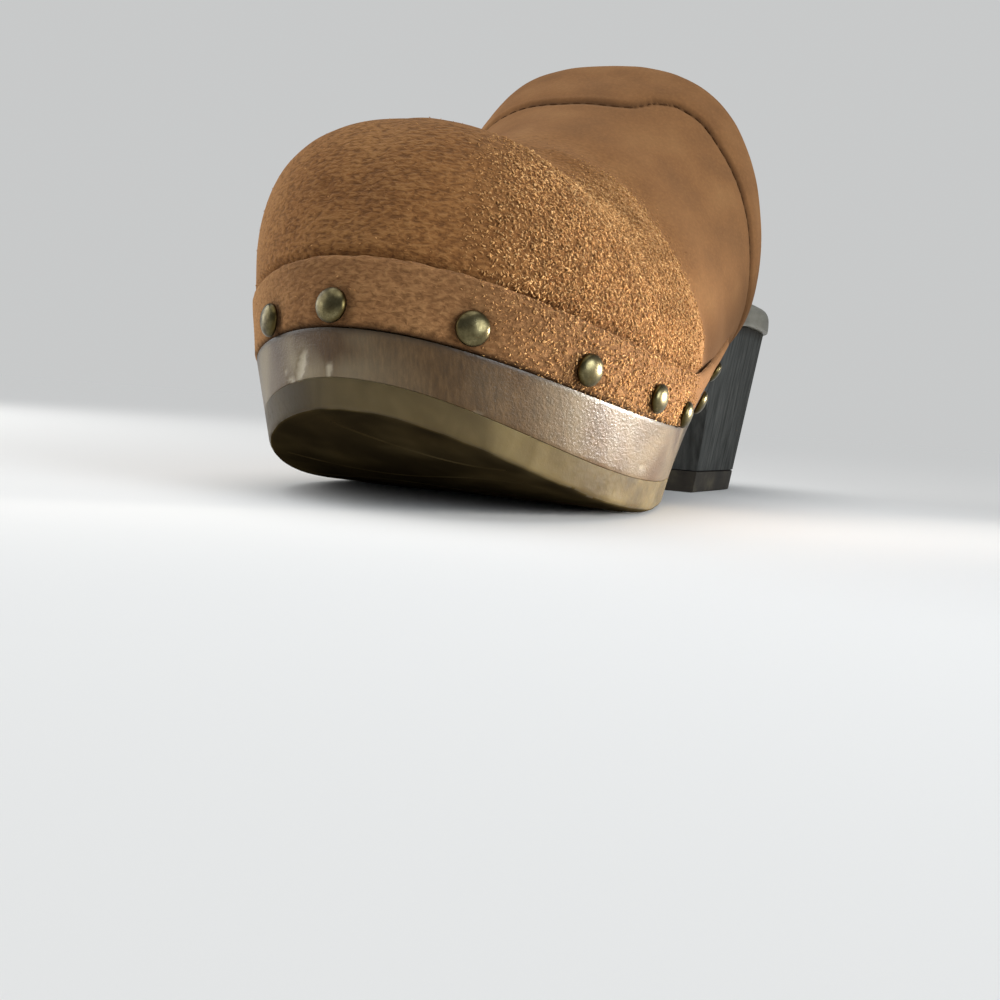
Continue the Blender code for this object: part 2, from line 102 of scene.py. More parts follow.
def meshFrom(name, points, faces, edges=()):
    mesh = bpy.data.meshes.new(name)
    mesh.from_pydata(((np.asarray(points, float) + toeTip) * mm).tolist(), list(edges), faces)
    return mesh


def setValues(mesh, values):
    # attributes that materials and trees read
    for label, data in values.items():
        attribute = mesh.attributes.new(label, "FLOAT", "POINT")
        attribute.data.foreach_set("value", np.asarray(data, np.float32))


def makePiece(name, points, faces, materials, slots=None, values=None, sharp=50.0):
    # a closed mesh, smooth but for edges sharper than the given angle
    mesh = meshFrom(name, points, faces)
    for material in materials:
        mesh.materials.append(material)
    if slots is not None:
        mesh.polygons.foreach_set("material_index", np.asarray(slots, np.int32))
    setValues(mesh, values or {})
    work = bmesh.new()
    work.from_mesh(mesh)
    bmesh.ops.remove_doubles(work, verts=work.verts, dist=2e-7)
    bmesh.ops.dissolve_degenerate(work, edges=work.edges, dist=1e-7)
    bmesh.ops.recalc_face_normals(work, faces=work.faces)
    work.to_mesh(mesh)
    work.free()
    mesh.shade_smooth()
    mesh.set_sharp_from_angle(angle=math.radians(sharp))
    return addObject(name, mesh)


def stampShape(name, points, faces, values=None):
    # a small shape at the origin that a tree repeats
    mesh = bpy.data.meshes.new(name)
    mesh.from_pydata((np.array(points) * mm).tolist(), [], faces)
    setValues(mesh, values or {})
    mesh.shade_smooth()
    return addObject(name, mesh)


def loftFaces(loops):
    # rings of equal length; an end ring that isn't drawn to a line gets a cap
    count = len(loops[0])
    points = np.concatenate(loops)
    faces = []
    for i in range(len(loops) - 1):
        a, b = i * count, (i + 1) * count
        for k in range(count):
            n = (k + 1) % count
            faces.append((a + k, a + n, b + n, b + k))
    for first in (0, len(points) - count):
        ring = points[first:first + count]
        if np.ptp(ring[:, 0]) > 1.0:
            faces.append(tuple(range(first, first + count)))
    return points, faces


def newTree(name, inputs):
    tree = bpy.data.node_groups.new(name, "GeometryNodeTree")
    for label, kind in {"Geometry": "Geometry", **inputs}.items():
        tree.interface.new_socket(label, in_out="INPUT", socket_type="NodeSocket" + kind)
    tree.interface.new_socket("Geometry", in_out="OUTPUT", socket_type="NodeSocketGeometry")
    return tree, addNode(tree, "NodeGroupInput").outputs


def turnTo(tree, direction, seed):
    # upright along the direction, at a random turn round it
    upright = addNode(tree, "FunctionNodeAlignRotationToVector", {"axis": "Z"}, {"Vector": direction})
    spin = addNode(tree, "FunctionNodeRandomValue", {"data_type": "FLOAT", 2: 0.0, 3: 6.28}, {"Seed": seed})
    about = addNode(tree, "FunctionNodeAxisAngleToRotation", {"Axis": (0.0, 0.0, 1.0)}, {"Angle": spin})
    return addNode(tree, "FunctionNodeRotateRotation", {"rotation_space": "LOCAL"},
                   {"Rotation": upright, "Rotate By": about})


def endTree(tree, geometry, material):
    whole = addNode(tree, "GeometryNodeRealizeInstances", links={"Geometry": geometry})
    dressed = addNode(tree, "GeometryNodeSetMaterial", links={"Geometry": whole, "Material": material})
    addNode(tree, "NodeGroupOutput", links={"Geometry": dressed})
    return tree


def runTree(name, mesh, tree, inputs):
    # evaluates a tree once on a carrier mesh and keeps the result as a plain mesh
    carrier = addObject(name, mesh)
    modifier = carrier.modifiers.new(name, "NODES")
    modifier.node_group = tree
    sockets = {item.name: item.identifier for item in tree.interface.items_tree if item.in_out == "INPUT"}
    for label, value in inputs.items():
        modifier[sockets[label]] = value
    bpy.context.view_layer.update()
    result = bpy.data.meshes.new_from_object(carrier.evaluated_get(bpy.context.evaluated_depsgraph_get()))
    carrier.modifiers.remove(modifier)
    carrier.data = result
    result.name = name
    return carrier


def roughness(points, size, seed):
    # soft noise, about -1 to 1, with features of the given size in mm
    shift = Vector((seed * 17.3, seed * 5.1, seed * 9.7))
    return np.array([noise.fractal(Vector(p) / size + shift, 1.0, 2.0, 3) for p in points])


def settle(piece, slot, *nodes):
    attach(piece, "root")
    if nodes:
        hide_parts(*nodes)


# outline and heights of the sole, in mm from the toe tip

soleShape = {
    "heelX": 6.7, "heelY": 213.7, "heelRadius": 30.3,
    # reach at the ball, its distance from the toe, roundness of the toe along and across
    "ball": {lateral: (50.2, 73.0, 1.95, 1.8), medial: (44.7, 69.6, 2.05, 2.2)},
    # distance from the toe, lateral and medial reach
    "waist": ((95.0, 48.6, 41.6), (120.0, 44.4, 37.2), (145.0, 39.6, 34.8), (170.0, 33.6, 33.8),
              (192.0, 27.2, 35.6), (213.7, 23.6, 37.0)),
    "ballTop": 21.1, "toeLift": 13.5, "toeLiftEnd": 93.5,
    "spring": 18.7, "springEnd": 90.0, "springPower": 2.3, "heelRise": 35.3, "heelRiseFrom": (85.0, 195.0),
    "treadToe": 6.9, "treadBall": 7.8, "treadEnd": 114.0,
    "liftHeight": 7.0, "sideDraft": 0.21, "heelDraft": 0.127, "draftChange": (125.0, 180.0), "overhang": 1.5,
    "seatStart": (150.0, 162.0), "behindBall": 71.0,
}


def smoothThrough(x, knots, values, startSlope=None, endSlope=None):
    knots, values = np.asarray(knots, float), np.asarray(values, float)
    slopes = np.gradient(values, knots)
    if startSlope is not None:
        slopes[0] = startSlope
    if endSlope is not None:
        slopes[-1] = endSlope
    x = np.clip(x, knots[0], knots[-1])
    row = np.clip(np.searchsorted(knots, x, side="right") - 1, 0, len(knots) - 2)
    width = knots[row + 1] - knots[row]
    part = (x - knots[row]) / width
    rest = 1 - part
    near = (1 + 2 * part) * rest**2 * values[row] + part * rest**2 * width * slopes[row]
    far = part**2 * (3 - 2 * part) * values[row + 1] - part**2 * rest * width * slopes[row + 1]
    return near + far


def ease(x, start, end):
    part = np.clip((np.asarray(x, float) - start) / (end - start), 0, 1)
    return part * part * (3 - 2 * part)


def reach(side, y):
    ballReach, ballY, lengthPower, widthPower = soleShape["ball"][side]
    y = np.asarray(y, float)
    ahead = np.clip((ballY - y) / ballY, 0, 1)
    front = ballReach * (1 - ahead**lengthPower) ** (1 / widthPower)
    column = 1 if side == lateral else 2
    knots = [ballY] + [row[0] for row in soleShape["waist"]]
    values = [ballReach] + [row[column] for row in soleShape["waist"]]
    waist = smoothThrough(y, knots, values, 0.0, 0.0)
    back = np.sqrt(np.clip(soleShape["heelRadius"] ** 2 - (y - soleShape["heelY"]) ** 2, 0, None))
    return np.where(y < ballY, front,
                    np.where(y < soleShape["heelY"], waist, side * soleShape["heelX"] + back))


def outlineNormal(side, y):
    step = 0.01
    heelX, heelY = soleShape["heelX"], soleShape["heelY"]
    if y < step:
        return np.array((0.0, -1.0))
    if y > heelY + soleShape["heelRadius"] - step:
        return np.array((0.0, 1.0))
    if y > heelY:
        direction = np.array((side * reach(side, y) - heelX, y - heelY))
        return direction / np.linalg.norm(direction)
    growth = (reach(side, y + step / 2) - reach(side, y - step / 2)) / step
    return np.array((side, -growth)) / np.hypot(1, growth)


def outlinePoint(side, y, inset, z):
    atEnd = y >= soleShape["heelY"] + soleShape["heelRadius"]
    x = soleShape["heelX"] if atEnd else side * float(reach(side, y))
    normal = outlineNormal(side, y)
    return (x - normal[0] * inset, y - normal[1] * inset, z)


def woodTop(y):
    ahead = np.clip((soleShape["toeLiftEnd"] - y) / soleShape["toeLiftEnd"], 0, None)
    lift = soleShape["toeLift"] * ahead ** soleShape["springPower"]
    return soleShape["ballTop"] + lift + soleShape["heelRise"] * ease(y, *soleShape["heelRiseFrom"])


def treadBottom(y):
    ahead = np.clip((soleShape["springEnd"] - y) / soleShape["springEnd"], 0, None)
    return soleShape["spring"] * ahead ** soleShape["springPower"]


def treadTop(y):
    share = np.clip(y / soleShape["ball"][medial][1], 0, 1)
    return treadBottom(y) + soleShape["treadToe"] + (soleShape["treadBall"] - soleShape["treadToe"]) * share


def woodInset(y, z):
    change = ease(y, *soleShape["draftChange"])
    lean = soleShape["sideDraft"] + (soleShape["heelDraft"] - soleShape["sideDraft"]) * change
    return soleShape["overhang"] * ease(y, *soleShape["seatStart"]) + lean * (woodTop(y) - z)


def toeStations(count):
    return list(soleShape["ball"][medial][1] * (1 - np.cos(np.linspace(0, np.pi / 2, count))))


def treadStations(count):
    return list(np.linspace(soleShape["behindBall"], soleShape["treadEnd"], count))


def heelStations(count):
    return list(soleShape["heelY"] + soleShape["heelRadius"] * np.sin(np.linspace(0, np.pi / 2, count)))


def across(start, end, count):
    shares = np.linspace(0, 1, count + 2)[1:-1, None]
    return np.asarray(start) + (np.asarray(end) - np.asarray(start)) * shares


def closedRing(near, far, underRows, aboveRows):
    # one section: down the near side, across below, up the far side and back above
    under = across(near[-1], far[-1], underRows)
    above = across(far[0], near[0], aboveRows)
    return np.concatenate([near, under, far[::-1], above])


print("shape of the sole ready")


# materials, with pattern sizes in mm

suedeLook = {
    "clump": 0.9, "fleck": (1.5, 1.5, 0.7), "patch": 16.0, "fibre": 0.35, "depth": 0.45,
    # the rubbed tone also serves for painted highlight and painted light, and the last, darkest tone for
    # painted shade and darker marks
    "smooth": "#86603f", "rubbed": "#b98a59", "groove": "#3a2412", "sheen": "#d8a878",
    # brushed flecks get painted shade between them and a painted highlight on top
    "patchWeight": 0.28, "fleckShade": 0.65, "fleckHighlight": 0.35, "fibreRelief": 0.2, "fleckRelief": 2.6,
    # what full crumbs add, and what smooth leather has
    "clumpShare": (0.75, 0.14), "relief": (0.2, 0.65),
}


def suedeMaterial(name, dark, mid, light, shift):
    # buffed split cowhide: no gloss, short fibres that lie in clumps, so it reads as level flecks with
    # painted shade between them and a painted highlight on them where it was brushed, and as light crumbs
    # over dark pits where it wasn't
    look = suedeLook
    material, tree, shader, place = newMaterial(name, {
        "Roughness": 0.95, "Specular IOR Level": 0.12, "Sheen Weight": 0.22, "Sheen Roughness": 0.45,
        "Sheen Tint": hexColour(look["sheen"]),
    })
    crumbs, brushed, worn, groove = (
        addNode(tree, "ShaderNodeAttribute", {"attribute_name": label}).outputs["Fac"]
        for label in ("crumbs", "brushed", "worn", "groove"))
    moved = addNode(tree, "ShaderNodeVectorMath", {"operation": "ADD", 1: (shift, 0.0, 0.0)}, {0: place})
    clumps = addNode(tree, "ShaderNodeTexNoise",
                     {"Scale": 1 / look["clump"], "Detail": 3.0, "Roughness": 0.6}, {"Vector": moved})
    level = addNode(tree, "ShaderNodeVectorMath", {"operation": "DIVIDE", 1: look["fleck"]}, {0: moved})
    flecks = addNode(tree, "ShaderNodeTexNoise",
                     {"Scale": 1.0, "Detail": 2.0, "Roughness": 0.5, "Distortion": 0.4}, {"Vector": level})
    patches = addNode(tree, "ShaderNodeTexNoise",
                      {"Scale": 1 / look["patch"], "Detail": 2.0, "Roughness": 0.5}, {"Vector": moved})
    clumpTone = addNode(tree, "ShaderNodeValToRGB", {"stops": ((0.4, dark), (0.56, mid), (0.74, light))},
                        {"Fac": clumps})
    patchTone = addNode(tree, "ShaderNodeValToRGB", {"stops": ((0.35, dark), (0.5, mid), (0.7, light))},
                        {"Fac": patches})
    gain, least = look["clumpShare"]
    clumpShare = addNode(tree, "ShaderNodeMath", {"operation": "MULTIPLY_ADD", 1: gain, 2: least},
                         {0: crumbs})
    # painted shade between the flecks and a painted highlight on top of them, where the nap is brushed
    weights = []
    for weight, stops in ((look["fleckShade"], ((0.34, 1.0), (0.5, 0.0))),
                          (look["fleckHighlight"], ((0.5, 0.0), (0.66, 1.0)))):
        tone = addNode(tree, "ShaderNodeValToRGB", {"stops": stops}, {"Fac": flecks})
        share = addNode(tree, "ShaderNodeMath", {"operation": "MULTIPLY"}, {0: tone, 1: brushed})
        weights.append(addNode(tree, "ShaderNodeMath", {"operation": "MULTIPLY", 1: weight}, {0: share}))
    napped = addNode(tree, "ShaderNodeMath", {"operation": "ADD", "use_clamp": True}, {0: crumbs, 1: brushed})
    ground = addNode(tree, "ShaderNodeMix",
                     {"data_type": "RGBA", 6: hexColour(look["smooth"]), 7: hexColour(mid)}, {0: napped})
    base = addNode(tree, "ShaderNodeMix", {"data_type": "RGBA", 0: look["patchWeight"]},
                   {6: ground, 7: patchTone})
    colour = addNode(tree, "ShaderNodeMix", {"data_type": "RGBA"}, {0: clumpShare, 6: base, 7: clumpTone})
    # painted highlight on the flecks, painted shade between them, rubbed nap with painted light, and painted
    # shade with darker marks
    layers = ((weights[1], light), (weights[0], dark), (worn, look["rubbed"]), (groove, look["groove"]))
    for weight, paint in layers:
        colour = addNode(tree, "ShaderNodeMix", {"data_type": "RGBA", 7: hexColour(paint)},
                         {0: weight, 6: colour})
    fine = addNode(tree, "ShaderNodeTexNoise", {"Scale": 1 / look["fibre"], "Detail": 2.0, "Roughness": 0.6},
                   {"Vector": moved})
    raised = addNode(tree, "ShaderNodeMath", {"operation": "MULTIPLY"}, {0: clumps, 1: clumpShare})
    furred = addNode(tree, "ShaderNodeMath", {"operation": "MULTIPLY_ADD", 1: look["fibreRelief"]},
                     {0: fine, 2: raised})
    combed = addNode(tree, "ShaderNodeMath", {"operation": "MULTIPLY"}, {0: flecks, 1: brushed})
    height = addNode(tree, "ShaderNodeMath", {"operation": "MULTIPLY_ADD", 1: look["fleckRelief"]},
                     {0: combed, 2: furred})
    gain, least = look["relief"]
    push = addNode(tree, "ShaderNodeMath", {"operation": "MULTIPLY_ADD", 1: gain, 2: least}, {0: crumbs})
    bump = addNode(tree, "ShaderNodeBump", {"Distance": look["depth"] * mm},
                   {"Height": height, "Strength": push})
    linkTo(shader, {"Base Color": colour, "Normal": bump})
    return material


def tuftMaterial():
    # loose fibre ends of the same split: lighter where they catch the light, each a little different
    material, tree, shader, place = newMaterial("splitSuedeFibre", {
        "Roughness": 0.9, "Specular IOR Level": 0.15, "Sheen Weight": 0.2, "Sheen Roughness": 0.4,
        "Sheen Tint": hexColour("#e0b588"),
    })
    shade = addNode(tree, "ShaderNodeAttribute", {"attribute_name": "tuftShade"}).outputs["Fac"]
    tone = addNode(tree, "ShaderNodeValToRGB", {
        "stops": ((0.0, "#6b4624"), (0.4, "#a77746"), (0.75, "#cd9a60"), (1.0, "#e0b279"))}, {"Fac": shade})
    drift = addNode(tree, "ShaderNodeTexNoise", {"Scale": 1 / 9.0, "Detail": 1.0}, {"Vector": place})
    darker = addNode(tree, "ShaderNodeMapRange",
                     {"From Min": 0.35, "From Max": 0.6, "To Min": 0.35, "To Max": 0.0}, {"Value": drift})
    mixed = addNode(tree, "ShaderNodeMix", {"data_type": "RGBA", 7: hexColour("#6b4624")},
                    {0: darker, 6: tone})
    linkTo(shader, {"Base Color": mixed})
    return material


def liningMaterial():
    # smooth vegetable-tanned lining: a fine pore grain and a dull shine from wear
    material, tree, shader, place = newMaterial("vegetableTannedLining",
                                                {"Roughness": 0.6, "Specular IOR Level": 0.35})
    pores = addNode(tree, "ShaderNodeTexVoronoi", {"Scale": 1 / 0.9}, {"Vector": place})
    cloud = addNode(tree, "ShaderNodeTexNoise", {"Scale": 1 / 22.0, "Detail": 3.0}, {"Vector": place})
    tone = addNode(tree, "ShaderNodeValToRGB",
                   {"stops": ((0.3, "#8a643f"), (0.5, "#a67e52"), (0.75, "#b48d61"))}, {"Fac": cloud})
    bump = addNode(tree, "ShaderNodeBump", {"Distance": 0.08 * mm, "Strength": 0.5}, {"Height": pores})
    linkTo(shader, {"Base Color": tone, "Normal": bump})
    return material


grainLook = {
    # sizes of a streak across, along and up: on the sides and toe, upright on the heel, and sanding marks
    "side": (0.6, 45.0, 2.6), "heel": (1.6, 1.6, 40.0), "sanding": (0.45, 0.7, 0.5),
    "cloud": 24.0, "relief": 0.15, "heelTones": ((0.3, "#3b3b38"), (0.52, "#4a4a47"), (0.75, "#5a5955")),
    # the darkest colour here is painted shade under the leather and under the seat
    "bare": "#b3a78f", "underShade": "#231c14", "washWeight": (0.55, 0.12),  # what full wash adds, and the least
}


def woodMaterial(name, dark, mid, light, wash, coat, shine):
    # alder, grey wash rubbed into the grain under satin varnish: streaks along the foot, upright on the
    # cooler heel, and a hazy, broken glare
    look = grainLook
    material, tree, shader, place = newMaterial(name, {
        "Roughness": 0.5, "Specular IOR Level": shine,
        "Coat Weight": coat, "Coat Roughness": 0.26, "Coat IOR": 1.45,
    })
    heel, washed, bare, underShade = (
        addNode(tree, "ShaderNodeAttribute", {"attribute_name": label}).outputs["Fac"]
        for label in ("heelShare", "washShare", "bareWood", "groove"))
    along, upright, scored = (
        addNode(tree, "ShaderNodeVectorMath", {"operation": "DIVIDE", 1: look[label]}, {0: place})
        for label in ("side", "heel", "sanding"))
    grain = addNode(tree, "ShaderNodeTexNoise",
                    {"Scale": 1.0, "Detail": 4.0, "Roughness": 0.6, "Distortion": 0.3}, {"Vector": along})
    heelGrain = addNode(tree, "ShaderNodeTexNoise", {"Scale": 1.0, "Detail": 3.0, "Roughness": 0.55},
                        {"Vector": upright})
    sanding = addNode(tree, "ShaderNodeTexNoise", {"Scale": 1.0, "Detail": 3.0, "Roughness": 0.7},
                      {"Vector": scored})
    cloud = addNode(tree, "ShaderNodeTexNoise",
                    {"Scale": 1 / look["cloud"], "Detail": 2.0, "Distortion": 0.6}, {"Vector": place})
    heelTone = addNode(tree, "ShaderNodeValToRGB", {"stops": look["heelTones"]}, {"Fac": heelGrain})
    grainTone = addNode(tree, "ShaderNodeValToRGB", {"stops": ((0.25, dark), (0.5, mid), (0.8, light))},
                        {"Fac": grain})
    washTone = addNode(tree, "ShaderNodeValToRGB", {"stops": ((0.4, mid), (0.62, wash))}, {"Fac": cloud})
    gain, least = look["washWeight"]
    washWeight = addNode(tree, "ShaderNodeMath", {"operation": "MULTIPLY_ADD", 1: gain, 2: least},
                         {0: washed})
    stained = addNode(tree, "ShaderNodeMix", {"data_type": "RGBA"},
                      {0: washWeight, 6: grainTone, 7: washTone})
    colour = addNode(tree, "ShaderNodeMix", {"data_type": "RGBA"}, {0: heel, 6: stained, 7: heelTone})
    # pale wood bared by knocks, and painted shade under the leather and the seat
    for weight, paint in ((bare, look["bare"]), (underShade, look["underShade"])):
        colour = addNode(tree, "ShaderNodeMix", {"data_type": "RGBA", 7: hexColour(paint)},
                         {0: weight, 6: colour})
    bump = addNode(tree, "ShaderNodeBump", {"Distance": look["relief"] * mm, "Strength": 0.75},
                   {"Height": sanding})
    haze = addNode(tree, "ShaderNodeMapRange",
                   {"From Min": 0.3, "From Max": 0.7, "To Min": 0.34, "To Max": 0.56}, {"Value": cloud})
    linkTo(shader, {"Base Color": colour, "Normal": bump, "Coat Normal": bump, "Roughness": haze})
    return material


def gumMaterial(name, sink, shine):
    # crepe-coloured gum rubber, moulded: light sinks in, so thin edges glow and thick parts stay olive brown;
    # under the foot it is walked dull, and darker with dirt and painted shade
    material, tree, shader, place = newMaterial(name, {
        "Roughness": 0.4, "Subsurface Weight": sink, "Subsurface Scale": 1.0,
        "Subsurface Radius": (5.0 * mm, 3.6 * mm, 2.0 * mm), "Specular IOR Level": shine,
    })
    cloud = addNode(tree, "ShaderNodeTexNoise", {"Scale": 1 / 18.0, "Detail": 3.0, "Distortion": 0.8},
                    {"Vector": place})
    tone = addNode(tree, "ShaderNodeValToRGB",
                   {"stops": ((0.3, "#3f331f"), (0.52, "#54462a"), (0.75, "#6d5e3e"))}, {"Fac": cloud})
    # darker where marked: walked-in dirt and painted shade under the foot, painted shade on the outer toe
    # corner
    darkening = addNode(tree, "ShaderNodeAttribute", {"attribute_name": "groove"}).outputs["Fac"]
    grimeAndShade = addNode(tree, "ShaderNodeMix", {"data_type": "RGBA", 7: hexColour("#241d11")}, {0: darkening, 6: tone})
    pits = addNode(tree, "ShaderNodeTexNoise", {"Scale": 1 / 1.6, "Detail": 4.0, "Roughness": 0.65},
                   {"Vector": place})
    bump = addNode(tree, "ShaderNodeBump", {"Distance": 0.12 * mm, "Strength": 0.4}, {"Height": pits})
    gloss = addNode(tree, "ShaderNodeMapRange",
                    {"From Min": 0.3, "From Max": 0.7, "To Min": 0.28, "To Max": 0.5}, {"Value": pits})
    dull = addNode(tree, "ShaderNodeMath", {"operation": "MAXIMUM"}, {0: gloss, 1: darkening})
    linkTo(shader, {"Base Color": grimeAndShade, "Normal": bump, "Roughness": dull})
    return material


def liftMaterial():
    # pressed heel rubber: dull and gritty, with grey street dust in clouds
    material, tree, shader, place = newMaterial("pressedHeelRubber",
                                                {"Roughness": 0.75, "Specular IOR Level": 0.3})
    grit = addNode(tree, "ShaderNodeTexNoise", {"Scale": 1 / 0.6, "Detail": 3.0, "Roughness": 0.7},
                   {"Vector": place})
    dust = addNode(tree, "ShaderNodeTexNoise", {"Scale": 1 / 9.0, "Detail": 3.0}, {"Vector": place})
    tone = addNode(tree, "ShaderNodeValToRGB",
                   {"stops": ((0.35, "#2b2620"), (0.55, "#3a342b"), (0.75, "#57503f"))}, {"Fac": dust})
    bump = addNode(tree, "ShaderNodeBump", {"Distance": 0.15 * mm, "Strength": 0.5}, {"Height": grit})
    linkTo(shader, {"Base Color": tone, "Normal": bump})
    return material


def brassMaterial():
    # pressed brass gone dull: greenish gold with brown film towards the rim and fine handling scratches
    material, tree, shader, place = newMaterial("tarnishedBrass", {"Metallic": 1.0, "Roughness": 0.3})
    rim = addNode(tree, "ShaderNodeAttribute", {"attribute_name": "rim"}).outputs["Fac"]
    film = addNode(tree, "ShaderNodeTexNoise", {"Scale": 1 / 1.8, "Detail": 4.0, "Roughness": 0.65},
                   {"Vector": place})
    tone = addNode(tree, "ShaderNodeValToRGB",
                   {"stops": ((0.3, "#3f3723"), (0.55, "#625a3f"), (0.8, "#877d5c"))}, {"Fac": film})
    edge = addNode(tree, "ShaderNodeMix", {"data_type": "RGBA", 7: hexColour("#4a3f22")}, {0: rim, 6: tone})
    wear = addNode(tree, "ShaderNodeMapRange",
                   {"From Min": 0.3, "From Max": 0.75, "To Min": 0.4, "To Max": 0.22}, {"Value": film})
    scratches = addNode(tree, "ShaderNodeTexNoise", {"Scale": 1 / 0.3, "Detail": 2.0, "Distortion": 1.5},
                        {"Vector": place})
    bump = addNode(tree, "ShaderNodeBump", {"Distance": 0.03 * mm, "Strength": 0.35}, {"Height": scratches})
    linkTo(shader, {"Base Color": edge, "Roughness": wear, "Normal": bump})
    return material


def threadMaterial():
    # waxed polyester thread, twisted: dark, with light and dark strands by turns
    material, tree, shader, place = newMaterial("waxedThread", {"Roughness": 0.8, "Specular IOR Level": 0.1})
    twist = addNode(tree, "ShaderNodeTexWave", {"Scale": 1 / 0.5, "Distortion": 1.0}, {"Vector": place})
    tone = addNode(tree, "ShaderNodeValToRGB", {"stops": ((0.2, "#3b2513"), (0.8, "#5d3d21"))},
                   {"Fac": twist.outputs["Fac"]})
    linkTo(shader, {"Base Color": tone})
    return material


suede = suedeMaterial("buffedSplitSuede", "#52331a", "#7f542d", "#a47849", 0.0)
bandSuede = suedeMaterial("cutSuedeBand", "#573a20", "#7f5836", "#a57c50", 37.0)
tuftSuede = tuftMaterial()
lining = liningMaterial()
stain = ("#37260f", "#4a3419", "#61482a", "#94866a")
greyWood = woodMaterial("greyWashedAlder", *stain, 0.5, 0.1)
dullWood = woodMaterial("greyWashedAlderHeel", *stain, 0.0, 0.0)
paleWood = woodMaterial("paleWashedAlder", "#5c574b", "#777263", "#8b8679", "#7b7973", 0.3, 0.3)
gum = gumMaterial("mouldedGumRubber", 0.35, 0.15)
walkedGum = gumMaterial("walkedGumRubber", 0.0, 0.0)
heelRubber = liftMaterial()
brass = brassMaterial()
thread = threadMaterial()
print("materials ready")


# wooden sole

woodLook = {
    "edgeRound": 0.15, "sideRows": 16, "underRows": 9, "aboveRows": 5,
    "toeStations": 84, "treadStations": 24, "archStations": 70, "heelStations": 36,
    "heelFlat": (181.0, 212.0, 14),  # from, to, number of stations
    # distance from the toe above and below, height of the underside
    "arch": ((120.0, 120.0, 10.6), (128.0, 128.0, 15.8), (138.0, 138.0, 23.2), (148.0, 148.0, 29.4),
             (155.0, 155.0, 32.3), (161.0, 161.0, 33.0), (166.0, 166.0, 31.4), (170.0, 169.8, 27.2),
             (173.0, 172.0, 20.6), (176.0, 173.2, 13.2), (179.0, 174.0, 7.3)),
    # knocks that bared paler wood: place, lean, reach across and up, depth, how bare
    "knocks": (((-9.3, 2.8, 26.7), 0.5, 1.2, 4.4, 0.25, 0.8), ((-12.6, 4.8, 24.6), 0.0, 1.2, 0.8, 0.3, 0.7),
               ((-14.4, 5.9, 26.2), 0.0, 0.9, 0.7, 0.2, 0.5), ((-1.6, 1.7, 26.9), 0.1, 0.6, 1.9, 0.2, 0.75),
               ((24.6, 12.8, 21.0), 0.0, 1.2, 0.4, 0.1, 0.15), ((42.0, 60.5, 11.6), 0.0, 1.0, 0.4, 0.2, 0.3)),
    "knockEdge": (0.65, 1.05), "knockRagged": 0.2, "knockAlong": 0.3, "knockTowards": (0.0, 60.0),
    # painted shade below the leather and below the seat: where along, from and to under the top, how dark
    "leatherShade": ((146.0, 150.0), 1.1, 0.1, 0.7), "seatShade": ((150.0, 160.0), 1.6, 0.2, 0.6),
    "varnishEnd": 160.0, "heelTone": (112.0, 168.0), "wash": (-8.0, 16.0), "innerWash": (24.0, 40.0, 0.35),
}


def sidePoints(side, yAbove, yBelow, top, bottom, rows, edgeRound):
    # down one side of a section, with both corners rounded
    corner = edgeRound * 0.29  # what a quarter round leaves at 45 degrees
    levels = [(top, edgeRound), (top - corner, corner)]
    levels += [(z, 0.0) for z in np.linspace(top - edgeRound, bottom + edgeRound, rows)]
    levels += [(bottom + corner, corner), (bottom, edgeRound)]
    points = []
    for z, more in levels:
        share = np.clip((top - z) / max(top - bottom, 0.001), 0, 1)
        y = yAbove + (yBelow - yAbove) * share
        points.append(outlinePoint(side, y, woodInset(y, z) + more, z))
    return np.array(points)


def knockMarks(points):
    # depth of the knocks at each point, and how bare the wood is there
    depth = np.zeros(len(points))
    bare = np.zeros(len(points))
    for place, lean, wide, high, deep, share in woodLook["knocks"]:
        offset = points - np.array(place)
        level = np.hypot(offset[:, 0] - lean * offset[:, 2], woodLook["knockAlong"] * offset[:, 1]) / wide
        far = np.hypot(level, offset[:, 2] / high) + woodLook["knockRagged"] * roughness(points, 1.5, 4)
        mark = 1 - ease(far, *woodLook["knockEdge"])
        depth = np.maximum(depth, deep * mark)
        bare = np.maximum(bare, share * mark)
    return depth, bare


